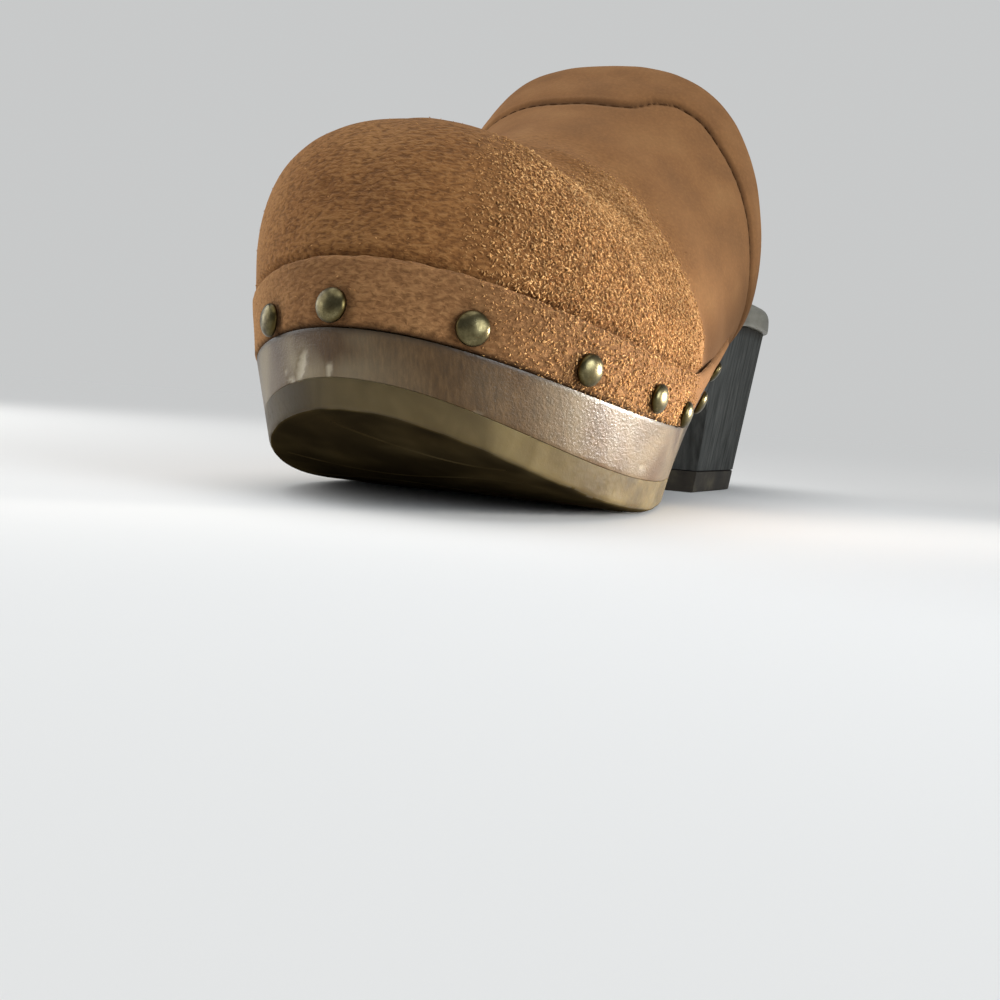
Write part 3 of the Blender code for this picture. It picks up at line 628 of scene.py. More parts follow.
def buildWoodenSole():
    y = toeStations(woodLook["toeStations"]) + treadStations(woodLook["treadStations"])
    rows = [(v, v, treadTop(v)) for v in y]
    numbers = np.arange(len(woodLook["arch"]))
    for place in np.linspace(0, numbers[-1], woodLook["archStations"]):
        rows.append(tuple(float(smoothThrough(place, numbers, column)) for column in zip(*woodLook["arch"])))
    heelBottom = soleShape["liftHeight"] + gap
    heel = list(np.linspace(*woodLook["heelFlat"])) + heelStations(woodLook["heelStations"])
    rows += [(v, v, heelBottom) for v in heel]
    loops = []
    for yAbove, yBelow, bottom in rows:
        top = woodTop(yAbove)
        sides = [sidePoints(side, yAbove, yBelow, top, bottom, woodLook["sideRows"], woodLook["edgeRound"])
                 for side in (lateral, medial)]
        loops.append(closedRing(*sides, woodLook["underRows"], woodLook["aboveRows"]))
    points, faces = loftFaces(loops)
    depth, bare = knockMarks(points)
    outwards = points[:, :2] - np.array(woodLook["knockTowards"])
    outwards = outwards / np.linalg.norm(outwards, axis=1)[:, None]
    points[:, :2] -= outwards * depth[:, None]
    x, y, z = points.T
    high = np.array([woodTop(v) for v in y])
    # painted shade on the wood just below the leather's edge and just below the seat's rim
    ends, start, stop, dark = woodLook["leatherShade"]
    leatherShade = ease(z, high - start, high - stop) * (1 - ease(y, *ends)) * dark
    ends, start, stop, dark = woodLook["seatShade"]
    seatShade = ease(z, high - start, high - stop) * ease(y, *ends) * dark
    start, stop, most = woodLook["innerWash"]
    values = {
        "bareWood": bare, "groove": np.maximum(leatherShade, seatShade),
        "heelShare": ease(y, *woodLook["heelTone"]),
        "washShare": np.maximum(1 - ease(x, *woodLook["wash"]), most * ease(x, start, stop)),
    }
    # the heel has lost its varnish
    slots = [int(y[list(face)].mean() > woodLook["varnishEnd"]) for face in faces]
    piece = makePiece("woodenSole", points, faces, [greyWood, dullWood], slots, values)
    settle(piece, "grey_washed_wood", "wooden_sole")


buildWoodenSole()
print("wooden sole ready")


# footbed

bedLook = {
    "thickness": 8.8, "dish": 1.2, "leatherRoom": 3.9, "edgeRows": 14, "acrossRows": 20, "underRows": 5,
    "endStations": 40,
    "stations": ((73.0, 148.0, 26), (149.0, 172.0, 30), (175.0, 211.0, 14)),  # from, to, number
    # inset from the outline, share of the thickness
    "edge": ((0.6, 0.0), (0.0, 0.07), (0.0, 0.5), (0.7, 0.76), (2.2, 0.93), (4.6, 1.0)),
}


def buildFootbed():
    middle = np.concatenate([np.linspace(*stretch) for stretch in bedLook["stations"]])
    stations = toeStations(bedLook["endStations"]) + list(middle) + heelStations(bedLook["endStations"])
    numbers = np.arange(len(bedLook["edge"]))
    places = np.linspace(0, numbers[-1], bedLook["edgeRows"])
    insets, shares = (smoothThrough(places, numbers, column) for column in zip(*bedLook["edge"]))
    part = np.linspace(0, 1, bedLook["acrossRows"] + 2)[1:-1]
    loops = []
    for y in stations:
        base = woodTop(y) + gap
        room = bedLook["leatherRoom"] * (1 - ease(y, *soleShape["seatStart"]))
        near, far = (np.array([outlinePoint(side, y, room + more, base + share * bedLook["thickness"])
                               for more, share in zip(insets, shares)]) for side in (lateral, medial))
        top = across(near[-1], far[-1], bedLook["acrossRows"])
        width = min(np.linalg.norm(far[-1] - near[-1]) / (2 * soleShape["heelRadius"]), 1.0)
        top[:, 2] -= bedLook["dish"] * width * 4 * part * (1 - part)
        loops.append(np.concatenate([near, top, far[::-1], across(far[0], near[0], bedLook["underRows"])]))
    settle(makePiece("footbedBoard", *loftFaces(loops), [paleWood]), "pale_wood", "footbed")


buildFootbed()
print("footbed ready")


# gum tread and heel lift

treadLook = {
    "round": 1.9, "roundRows": 6, "sideRows": 8, "toeStations": 84, "backStations": 24,
    "underRows": 44, "aboveRows": 4,
    "topGap": 0.05, "topRound": 0.06, "firstRow": 0.6, "edgeWaver": 0.3, "waverSize": 5.0,
    # the underside is darker from walked-in dirt and painted shade
    "underEdge": (0.7, 1.3), "darkening": 0.9, "scuffs": 0.25,
    # painted shade on the outer corner of the toe: fade across, fade along, how dark
    "toeShade": ((-12.0, 24.0), (20.0, 60.0), 0.4),
    "lineHeight": 0.18, "lineWidth": 1.3, "lineSpacing": 21.0, "lineSwing": 6.5, "lineWave": 74.0,
    # the lines are darkened like the underside: walked-in dirt and painted shade
    "linePhase": 31.0, "lineSlant": 0.24, "lineClear": 1.5, "lineStep": 1.2, "lineShadeAndDirt": 0.75,
    "lineAcross": (-47.0, 44.0),
    "firstLine": (-2, 12.0), "pastEnd": 30.0,  # number of the first line and where line 0 lies
}
liftLook = {
    "flat": (174.0, 212.0, 16),  # from, to, number of stations
    "heelStations": 36, "sideRows": 8, "underRows": 8, "aboveRows": 4, "edgeRound": 0.5,
}


def treadLoop(y):
    top, bottom, edgeRound = treadTop(y) - treadLook["topGap"], treadBottom(y), treadLook["round"]
    sideRows, roundRows = treadLook["sideRows"], treadLook["roundRows"]
    levels = [(top, treadLook["topRound"]), (top - treadLook["topRound"], 0.0)]
    levels += [(z, 0.0) for z in np.linspace(top - treadLook["firstRow"], bottom + edgeRound, sideRows)]
    for angle in np.linspace(0, np.pi / 2, roundRows + 1)[1:]:
        drop = edgeRound * (1 - math.sin(angle))
        # the lines stand on the floor, and the sheet between them is clear of it
        raised = treadLook["lineHeight"] * (1 - drop / edgeRound)
        levels.append((bottom + drop + raised, edgeRound * (1 - math.cos(angle))))
    sides = []
    for side in (lateral, medial):
        waver = treadLook["edgeWaver"] * noise.noise(Vector((y / treadLook["waverSize"], side * 3.0, 2.0)))
        shares = [max(0.0, (row - sideRows) / roundRows) for row in range(len(levels))]
        sides.append(np.array([outlinePoint(side, y, woodInset(y, z) + more + waver * share, z)
                               for share, (z, more) in zip(shares, levels)]))
    return closedRing(*sides, treadLook["underRows"], treadLook["aboveRows"])


def buildTread():
    stations = toeStations(treadLook["toeStations"]) + treadStations(treadLook["backStations"])
    loops = [treadLoop(y) for y in stations]
    points, faces = loftFaces(loops)
    x, y, z = points.T
    low = np.repeat([treadBottom(v) for v in stations], len(loops[0]))
    # under the foot the rubber is darker: walked-in dirt and painted shade
    under = 1 - ease(z - low + 0.3 * roughness(points, 6.0, 3), *treadLook["underEdge"])
    scuffed = treadLook["darkening"] + treadLook["scuffs"] * roughness(points, 14.0, 6)
    # painted shade on the outer corner of the toe
    fadeAcross, fadeAlong, dark = treadLook["toeShade"]
    toeShade = dark * (1 - ease(x, *fadeAcross)) * (1 - ease(y, *fadeAlong))
    values = {"groove": np.maximum(under * np.clip(scuffed, 0, 1), toeShade)}
    slots = [int(under[list(face)].mean() > 0.5) for face in faces]
    piece = makePiece("gumTread", points, faces, [gum, walkedGum], slots, values)
    settle(piece, "gum_rubber", "outsole")
    return BVHTree.FromPolygons(points.tolist(), faces)


def treadLineTree():
    # raised lines swept along the paths that the input mesh draws
    tree, inlet = newTree("treadLines", {"Line Radius": "Float", "Point Spacing": "Float", "Shade And Dirt": "Float",
                                         "Rubber": "Material"})
    path = addNode(tree, "GeometryNodeMeshToCurve", links={"Mesh": inlet["Geometry"]})
    even = addNode(tree, "GeometryNodeResampleCurve", {"mode": "LENGTH"},
                   {"Curve": path, "Length": inlet["Point Spacing"]})
    section = addNode(tree, "GeometryNodeCurvePrimitiveCircle", {"Resolution": 8},
                      {"Radius": inlet["Line Radius"]})
    sweep = addNode(tree, "GeometryNodeCurveToMesh", {"Fill Caps": True},
                    {"Curve": even, "Profile Curve": section})
    smooth = addNode(tree, "GeometryNodeSetShadeSmooth", links={"Geometry": sweep})
    # as dark as the underside round them: walked-in dirt and painted shade
    darkened = addNode(tree, "GeometryNodeStoreNamedAttribute",
                    {"data_type": "FLOAT", "domain": "POINT", "Name": "groove"},
                    {"Geometry": smooth, "Value": inlet["Shade And Dirt"]})
    return endTree(tree, darkened, inlet["Rubber"])


def buildTreadLines(tread):
    below, upwards = -50.0, Vector((0.0, 0.0, 1.0))
    clear = treadLook["round"] + treadLook["lineClear"]
    radius = treadLook["lineWidth"] / 2
    first, zero = treadLook["firstLine"]
    spacing = treadLook["lineSpacing"]
    middles = np.arange(zero + first * spacing, soleShape["treadEnd"] + treadLook["pastEnd"], spacing)
    points, edges = [], []
    for number, middle in enumerate(middles, first):
        start = len(points)
        for x in np.arange(*treadLook["lineAcross"], 1.0):
            swing = math.sin(2 * math.pi * (x + number * treadLook["linePhase"]) / treadLook["lineWave"])
            y = middle + treadLook["lineSwing"] * swing + treadLook["lineSlant"] * (x + toeTip[0])
            # a line ends where the ground round it isn't all underside
            around = [tread.ray_cast(Vector((x + dx, y + dy, below)), upwards)
                      for dx, dy in ((0, 0), (clear, 0), (-clear, 0), (0, clear), (0, -clear))]
            if any(hit is None or abs(normal.z) < 0.85 for hit, normal, _, _ in around):
                start = len(points)
                continue
            points.append((x, y, around[0][0].z - treadLook["lineHeight"] + radius))
            if len(points) - 1 > start:
                edges.append((len(points) - 2, len(points) - 1))
    piece = runTree("treadLines", meshFrom("treadLines", points, [], edges), treadLineTree(), {
        "Line Radius": radius * mm, "Point Spacing": treadLook["lineStep"] * mm,
        "Shade And Dirt": treadLook["lineShadeAndDirt"], "Rubber": walkedGum})
    settle(piece, "gum_rubber")


def buildHeelLift():
    high, rows, edgeRound = soleShape["liftHeight"], liftLook["sideRows"], liftLook["edgeRound"]
    loops = []
    for y in list(np.linspace(*liftLook["flat"])) + heelStations(liftLook["heelStations"]):
        sides = [sidePoints(side, y, y, high, 0.0, rows, edgeRound) for side in (lateral, medial)]
        loops.append(closedRing(*sides, liftLook["underRows"], liftLook["aboveRows"]))
    settle(makePiece("heelLift", *loftFaces(loops), [heelRubber]), "heel_rubber", "heel_lift")


buildTreadLines(buildTread())
buildHeelLift()
print("tread and heel lift ready")


# suede upper

vampShape = {
    "wall": 2.0, "inset": 0.3, "end": 148.5, "crestX": -7.5, "toeTop": (44.5, 82.4), "throat": (134.0, 125.2),
    "fan": 0.38, "crestSpread": 1.8, "crestRise": 2.0, "bellyHeight": 0.76, "bellyIn": 0.25,
    "bandHeight": 13.2, "bandSink": 1.3, "bandLip": 2.2, "hemFade": 16.0,
    # share of the edge, flare, belly, width of the crown, height of the flare
    "sections": {
        lateral: ((0.0, 1.0, 2.3, 0.59, 0.3), (0.28, 2.0, 15.0, 0.88, 0.3), (0.55, 4.4, 11.6, 0.56, 0.3),
                  (0.8, 12.0, 19.0, 0.7, 0.27), (1.0, 22.0, 26.5, 1.2, 0.2)),
        medial: ((0.0, 1.0, 2.3, 0.59, 0.3), (0.28, 4.9, 9.7, 0.58, 0.3), (0.55, 6.4, 13.1, 0.34, 0.3),
                 (0.8, 13.8, 21.4, 0.65, 0.27), (1.0, 21.7, 19.4, 1.19, 0.2)),
    },
}
upperLook = {
    "fanColumns": 64, "sideColumns": 62, "hemColumns": 40, "hemReach": 15.0, "bandRows": 6, "lipRows": 4,
    "crownRows": 78, "rimRows": 4, "rimRound": 0.9, "rimDarker": 0.15,
    # place across the shoe, distance of the hem's seam from the edge
    "seam": ((-60.0, 8.6), (-30.0, 10.6), (-8.0, 12.4), (9.0, 12.3), (13.0, 11.6), (17.5, 8.6), (23.0, 6.8),
             (30.0, 6.6), (37.0, 7.4), (60.0, 7.6)),
    # share of the hem's width, step in the wall
    "hemStep": ((0.0, 0.2), (0.08, 0.5), (0.3, 0.75), (0.85, 0.7), (0.94, 0.35), (0.985, -0.5), (1.02, -0.5),
                (1.12, 0.0)),
    # soft ridges and troughs: path, half width, height
    "creases": (
        (((6.0, 82.0, 85.5), (18.4, 83.1, 80.5), (26.7, 83.3, 73.9), (34.3, 81.5, 65.2), (39.9, 82.5, 57.0),
          (43.7, 88.0, 49.7), (45.3, 91.6, 42.9)), 4.0, 0.9),
        (((4.0, 95.0, 88.0), (25.2, 94.5, 80.0), (33.0, 93.5, 70.0), (40.0, 93.5, 60.0), (45.0, 98.0, 49.0),
          (46.0, 101.0, 42.0)), 6.5, -1.5),
        (((-30.0, 84.0, 80.0), (-42.0, 84.0, 68.0), (-49.0, 88.0, 52.0)), 5.0, 0.4),
        (((-30.0, 96.0, 82.0), (-42.0, 96.0, 70.0), (-49.0, 100.0, 52.0)), 7.0, -0.8),
        (((-9.4, 8.2, 63.0), (-7.7, 6.3, 59.6)), 0.9, -0.45),
        (((-4.9, 3.4, 52.5), (-3.2, 1.6, 48.6)), 0.8, -0.3),
    ),
    "unevenness": 0.3, "unevenSize": 22.0, "sinkFrom": (9.8, 18.0),
    # painted shade in the groove of the hem's seam
    "seamShade": (0.8, 0.055, (2.0, 14.0)),  # how dark, half width, height it fades in over
    "seamRubbed": (-27.0, 9.0, 0.6),  # where the seam is rubbed pale: middle, half width, how much
    # painted shade on the suede just above the band's top edge
    "lipShade": (0.35, 0.8, (12.0, 18.0)),  # how dark, half width, distance from the edge it fades in over
    # painted shade low on the inner rear wing: along, across and up, how dark
    "wingShade": ((90.0, 106.0), (5.0, 25.0), (16.0, 34.0), 0.65),
    "toeDark": (2.0, 15.0, (25.0, 55.0), 0.16),  # middle, half width, fade along, how dark
    # lighter along the first ridge, rubbed nap with a painted highlight, and painted light on the outer
    # corner of the toe
    "ridgeRubAndHighlight": (5.5, (14.0, 26.0), 0.5), "cornerLight": ((-40.0, -14.0), (20.0, 60.0), 0.5),
}


def vampEdge(side):
    ballY = soleShape["ball"][side][1]
    toe = ballY * (1 - np.cos(np.linspace(0, np.pi / 2, 120)))
    y = np.r_[toe, np.linspace(ballY, vampShape["end"], 90)[1:]]
    flat = np.array([outlinePoint(side, v, vampShape["inset"], 0.0)[:2] for v in y])
    outward = np.array([outlineNormal(side, v) for v in y])
    run = np.r_[0, np.cumsum(np.linalg.norm(np.diff(flat, axis=0), axis=1))]
    return np.c_[flat, woodTop(y) + gap], outward, run


vampEdges = {side: vampEdge(side) for side in (lateral, medial)}
hemLength = vampEdges[medial][2][-1]


def vampCurve(side, share):
    # one section of the last from the sole's edge to the crest, with its running length
    seat, outward, run = vampEdges[side]
    place = share * run[-1]
    edge = np.array([np.interp(place, run, seat[:, axis]) for axis in range(3)])
    away = np.array([np.interp(place, run, outward[:, 0]), np.interp(place, run, outward[:, 1]), 0.0])
    columns = list(zip(*vampShape["sections"][side]))
    flare, belly, crown, flareHeight = (smoothThrough(share, columns[0], column) for column in columns[1:])
    back = max(0.0, (share - vampShape["fan"]) / (1 - vampShape["fan"])) ** vampShape["crestSpread"]
    toeY, toeZ = vampShape["toeTop"]
    throatY, throatZ = vampShape["throat"]
    crest = np.array([vampShape["crestX"], toeY + (throatY - toeY) * back,
                      toeZ + (throatZ - toeZ) * back ** vampShape["crestRise"]])
    height = np.array([0.0, 0.0, crest[2] - edge[2]])
    inward = np.array([crest[0] - edge[0], crest[1] - edge[1], 0.0])
    flarePoint = edge + away * flare + height * flareHeight
    bellyPoint = edge + inward * vampShape["bellyIn"] + away * belly + height * vampShape["bellyHeight"]
    crownPoint = crest - inward * np.array([crown, crown * (1 - back) ** 2, 0.0])
    t = np.linspace(0, 1, 241)[:, None]
    s = 1 - t
    curve = (s**4 * edge + 4 * t * s**3 * flarePoint + 6 * t**2 * s**2 * bellyPoint
             + 4 * t**3 * s * crownPoint + t**4 * crest)
    return curve, np.r_[0, np.cumsum(np.linalg.norm(np.diff(curve, axis=0), axis=1))]


def alongCurve(curve, run, places):
    return np.array([np.interp(places, run, curve[:, axis]) for axis in range(3)]).T


def gridNormals(points, ids, faces):
    # level at the bottom row, so that the wall stands square on the sole
    normals = np.zeros_like(points)
    for face in faces:
        corner = points[list(face)]
        area = np.cross(corner[1] - corner[0], corner[2] - corner[0])
        if len(face) == 4:
            area = area + np.cross(corner[2] - corner[0], corner[3] - corner[0])
        normals[list(face)] += area
    for column in ids:
        normals[column[0]][2] = 0.0
    return normals / np.linalg.norm(normals, axis=1)[:, None]


def sheetFaces(ids):
    faces = []
    for c in range(len(ids) - 1):
        for r in range(len(ids[0]) - 1):
            face = list(dict.fromkeys((ids[c][r], ids[c + 1][r], ids[c + 1][r + 1], ids[c][r + 1])))
            if len(face) > 2:
                faces.append(tuple(face))
    return faces


def pathDistance(points, path):
    path = np.array(path, float)
    best = np.full(len(points), 1e9)
    for a, b in zip(path, path[1:]):
        share = np.clip(((points - a) @ (b - a)) / np.dot(b - a, b - a), 0, 1)
        best = np.minimum(best, np.linalg.norm(points - (a + share[:, None] * (b - a)), axis=1))
    return best


def buildSheet():
    # the last's surface as one grid of shared points, with each point's place along the edge and up it
    fan = np.linspace(0, vampShape["fan"], upperLook["fanColumns"])
    hemStart = 1 - upperLook["hemReach"] / hemLength
    sides = np.linspace(vampShape["fan"], hemStart, upperLook["sideColumns"])[1:]
    shares = np.r_[fan, sides, np.linspace(hemStart, 1.0, upperLook["hemColumns"])[1:]]
    count = len(shares)
    columns = [(lateral, i) for i in range(count - 1, 0, -1)] + [(medial, i) for i in range(count)]
    sheet = {"points": [], "share": [], "rise": [], "edgeZ": []}
    ids, crestIds = [], {}
    band, lip = vampShape["bandHeight"], vampShape["bandHeight"] + vampShape["bandLip"]
    for side, i in columns:
        curve, run = vampCurve(side, shares[i])
        rises = np.r_[np.linspace(0, band, upperLook["bandRows"] + 1),
                      np.linspace(band, lip, upperLook["lipRows"] + 1)[1:],
                      np.linspace(lip, run[-1], upperLook["crownRows"])[1:]]
        column = []
        for row, (point, rise) in enumerate(zip(alongCurve(curve, run, rises), rises)):
            last = row == len(rises) - 1
            key = 0 if shares[i] <= vampShape["fan"] + 1e-6 else i
            if last and key in crestIds:
                column.append(crestIds[key])
                continue
            column.append(len(sheet["points"]))
            if last:
                crestIds[key] = column[-1]
            for label, value in zip(sheet, (point, shares[i], rise, curve[0][2])):
                sheet[label].append(value)
        ids.append(column)
    sheet = {label: np.array(data) for label, data in sheet.items()}
    sheet["ids"] = ids
    sheet["faces"] = sheetFaces(ids)
    sheet["normals"] = gridNormals(sheet["points"], ids, sheet["faces"])
    sheet["fromEdge"] = (1 - sheet["share"]) * hemLength
    sheet["hemShare"] = sheet["fromEdge"] / np.interp(sheet["points"][:, 0], *zip(*upperLook["seam"]))
    return sheet


napFade = {
    "front": (74.0, 102.0), "inner": (13.0, 32.0), "lean": 0.25, "leanFrom": 60.0,
    "pressed": 0.6, "least": 0.05,
}


def napShares(points):
    # rough crumbs on the medial half of the toe, brushed flecks on the rest of it, both smoothed away behind
    x, y, z = points.T
    front = 1 - ease(y, *napFade["front"])
    inner = ease(x + napFade["lean"] * (z - napFade["leanFrom"]), *napFade["inner"])
    return front * inner, front * (1 - napFade["pressed"] * inner) + napFade["least"]


def upperSteps(sheet):
    # what the wall stands out from the last, and how far it sinks under the band
    points = sheet["points"]
    hem = smoothThrough(sheet["hemShare"], *zip(*upperLook["hemStep"]), None, 0.0)
    hem = np.where(sheet["hemShare"] > upperLook["hemStep"][-1][0], 0.0, hem)
    step = hem * ease(points[:, 2] - sheet["edgeZ"], 0.0, vampShape["hemFade"])
    for path, width, height in upperLook["creases"]:
        far = pathDistance(points, path) / width
        step = step + height * np.exp(-far * far)
    step = step + upperLook["unevenness"] * roughness(points, upperLook["unevenSize"], 1)
    aboveBand = ease(sheet["rise"], vampShape["bandHeight"], vampShape["bandHeight"] + vampShape["bandLip"])
    sink = vampShape["bandSink"] * ease(sheet["fromEdge"], *upperLook["sinkFrom"]) * (1 - aboveBand)
    under = (sheet["rise"] < vampShape["bandHeight"]) & (sink > 0.1)
    return np.where(under, np.minimum(step, 0.0), step), sink


def upperShadeAndWear(sheet):
    # where the suede is darker, with painted shade at the seam, above the band and low on the inner wing, and
    # where it is lighter, rubbed nap with a painted highlight on the ridge and painted light on the toe's
    # outer corner
    x, y, z = sheet["points"].T
    height = z - sheet["edgeZ"]
    # painted shade in the seam's groove, made weaker towards the outer side
    dark, wide, rise = upperLook["seamShade"]
    darkening = dark * np.exp(-(((sheet["hemShare"] - 1.0) / wide) ** 2)) * ease(height, *rise)
    middle, wide, share = upperLook["seamRubbed"]
    darkening *= 1 - share * np.exp(-(((x - middle) / wide) ** 2))
    # painted shade just above the band's top edge
    dark, wide, fade = upperLook["lipShade"]
    lipFar = (sheet["rise"] - vampShape["bandHeight"]) / wide
    darkening = np.maximum(darkening, dark * np.exp(-lipFar**2) * ease(sheet["fromEdge"], *fade))
    # painted shade low on the inner rear wing
    along, side, up, dark = upperLook["wingShade"]
    darkening = np.maximum(darkening, dark * ease(y, *along) * ease(x, *side) * (1 - ease(height, *up)))
    middle, wide, fade, dark = upperLook["toeDark"]
    darkening = np.maximum(darkening, dark * np.exp(-(((x - middle) / wide) ** 2)) * (1 - ease(y, *fade)))
    # lighter along the first ridge: rubbed nap and a painted highlight
    wide, side, share = upperLook["ridgeRubAndHighlight"]
    ridgeFar = pathDistance(sheet["points"], upperLook["creases"][0][0]) / wide
    worn = share * np.exp(-ridgeFar**2) * ease(x, *side)
    # painted light on the outer corner of the toe
    side, along, share = upperLook["cornerLight"]
    return darkening, np.maximum(worn, share * (1 - ease(x, *side)) * (1 - ease(y, *along)))


def buildUpper(sheet):
    step, sink = upperSteps(sheet)
    points, normals, ids, faces = sheet["points"], sheet["normals"], sheet["ids"], sheet["faces"]
    outer = points + normals * (step - sink)[:, None]
    inner = points - normals * (vampShape["wall"] + sink)[:, None]
    count = len(points)
    allPoints = [outer, inner]
    allFaces = list(faces) + [tuple(i + count for i in face[::-1]) for face in faces]
    low = [column[0] for column in ids]
    edgeFaces = [(b, a, a + count, b + count) for a, b in zip(low, low[1:])]
    # the turned edge of the topline, from the lateral end over the throat to the medial end
    arch = ids[0] + ids[-1][:-1][::-1]
    before = ids[1] + ids[-2][:-1][::-1]
    total = 2 * count
    rim = []
    for here, back in zip(arch, before):
        ahead = points[here] - points[back]
        ahead = ahead / np.linalg.norm(ahead)
        middle = (outer[here] + inner[here]) / 2
        half = (outer[here] - inner[here]) / 2
        bulge = ahead * np.linalg.norm(half) * upperLook["rimRound"]
        angles = np.linspace(0, np.pi, upperLook["rimRows"] + 2)[1:-1, None]
        allPoints.append(middle + half * np.cos(angles) + bulge * np.sin(angles))
        rim.append([here, *range(total, total + len(angles)), here + count])
        total += len(angles)
    for first, second in zip(rim, rim[1:]):
        edgeFaces += [(first[k], first[k + 1], second[k + 1], second[k]) for k in range(len(first) - 1)]
    edgeFaces += [tuple(rim[0]), tuple(rim[-1])]
    slots = [0] * len(faces) + [1] * len(faces) + [0] * len(edgeFaces)
    crumbs, brushed = napShares(points)
    darkening, worn = upperShadeAndWear(sheet)
    rest = np.zeros(total - count)
    values = {"crumbs": np.r_[crumbs, rest], "brushed": np.r_[brushed, rest], "worn": np.r_[worn, rest]}
    # darker marks outside, none inside, and the turned rim a little darker
    values["groove"] = np.r_[darkening, np.zeros(count), np.full(total - 2 * count, upperLook["rimDarker"])]
    piece = makePiece("suedeUpper", np.concatenate(allPoints), allFaces + edgeFaces, [suede, lining], slots,
                      values, 60.0)
    settle(piece, "tan_suede", "vamp")
    return outer


sheet = buildSheet()
upperFace = buildUpper(sheet)
print("upper ready")


# nails: each stands where its solid stands

nailLook = {
    "diameter": 6.6, "dome": 1.9, "rim": 0.35, "rimIn": 0.82, "rimBelow": 0.1, "sides": 28, "rings": 9,
    "turnSeed": 3,
    "filmFrom": 0.72, "filmTop": 0.9, "press": 0.45, "pressFrom": 2.6, "pressReach": 5.5,
}


def nailFrames():
    # a nail's longest line runs from the point of its shank to the top of its dome
    frames = []
    for name in sorted(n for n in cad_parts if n.startswith("nail_") and n != "nail_band"):
        points = np.array([v.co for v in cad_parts[name].data.vertices]) / mm
        far = np.linalg.norm(points[:, None] - points[None], axis=2)
        a, b = np.unravel_index(np.argmax(far), far.shape)
        # most points are on the dome, so the dome's end is nearer to their middle
        fromMiddle = np.linalg.norm(points - points.mean(0), axis=1)
        tip, point = (a, b) if fromMiddle[a] < fromMiddle[b] else (b, a)
        axis = (points[tip] - points[point]) / far[a, b]
        frames.append((name, points[tip] - axis * nailLook["dome"] - toeTip, axis))
    return frames


nails = nailFrames()


def nailTree():
    # one dome for each point of the input mesh, turned to that point's own direction
    tree, inlet = newTree("domeNails", {"Dome": "Object", "Brass": "Material", "Turn Seed": "Int"})
    dome = addNode(tree, "GeometryNodeObjectInfo", links={"Object": inlet["Dome"]})
    axis = addNode(tree, "GeometryNodeInputNamedAttribute", {"data_type": "FLOAT_VECTOR", "Name": "nailAxis"})
    placed = addNode(tree, "GeometryNodeInstanceOnPoints", links={
        "Points": inlet["Geometry"], "Instance": dome.outputs["Geometry"],
        "Rotation": turnTo(tree, axis, inlet["Turn Seed"])})
    return endTree(tree, placed, inlet["Brass"])


def domeShape():
    radius, rim, high, sides = nailLook["diameter"] / 2, nailLook["rim"], nailLook["dome"], nailLook["sides"]
    profile = [(radius * nailLook["rimIn"], -nailLook["rimBelow"]), (radius, 0.0), (radius, rim)]
    for angle in np.linspace(0, np.pi / 2, nailLook["rings"] + 1)[1:-1]:
        profile.append((radius * math.cos(angle), rim + (high - rim) * math.sin(angle)))
    points, faces, film = [], [], []
    for r, z in profile:
        for angle in np.linspace(0, 2 * np.pi, sides, endpoint=False):
            points.append((r * math.cos(angle), r * math.sin(angle), z))
            outside = max(0.0, (r / radius - nailLook["filmFrom"]) / (1 - nailLook["filmFrom"]))
            film.append(outside**2 if z < nailLook["filmTop"] else 0.0)
    points.append((0.0, 0.0, high))
    film.append(0.0)
    for i in range(len(profile) - 1):
        for k in range(sides):
            n = (k + 1) % sides
            faces.append((i * sides + k, i * sides + n, (i + 1) * sides + n, (i + 1) * sides + k))
    top = (len(profile) - 1) * sides
    faces += [(top + k, top + (k + 1) % sides, len(points) - 1) for k in range(sides)]
    faces.append(tuple(range(sides))[::-1])
    return stampShape("domeShape", points, faces, {"rim": film})


def buildNails():
    dome = domeShape()
    mesh = meshFrom("domeNails", [place for _, place, _ in nails], [])
    axes = np.array([axis for _, _, axis in nails], np.float32)
    mesh.attributes.new("nailAxis", "FLOAT_VECTOR", "POINT").data.foreach_set("vector", axes.ravel())
    piece = runTree("domeNails", mesh, nailTree(),
                    {"Dome": dome, "Brass": brass, "Turn Seed": nailLook["turnSeed"]})
    bpy.data.objects.remove(dome)
    settle(piece, "aged_brass", *[name for name, _, _ in nails])


buildNails()
print("nails ready")


# nail band

bandLook = {
    "thickness": 1.6, "columns": 150, "rows": 16, "edgeWaver": 0.35, "waverSteps": 40.0, "endInset": 12.0,
    "endTaper": 6.0, "skived": 0.15, "unevenness": 0.12, "unevenSize": 7.0, "lowRound": 0.45,
    # the band's lower edge gets painted shade where it meets the wood
    "highRound": 0.4, "rawEdge": 1.2, "nailDarker": 0.33, "lowShade": 0.9, "lowShadeEdge": (0.2, 1.2),
    "lowShadeRagged": 0.6, "napShare": 0.8,
    # painted light on the outer corner of the toe
    "cornerLight": ((-38.0, -8.0), (20.0, 60.0), 0.6),  # fade across, fade along, how light
}


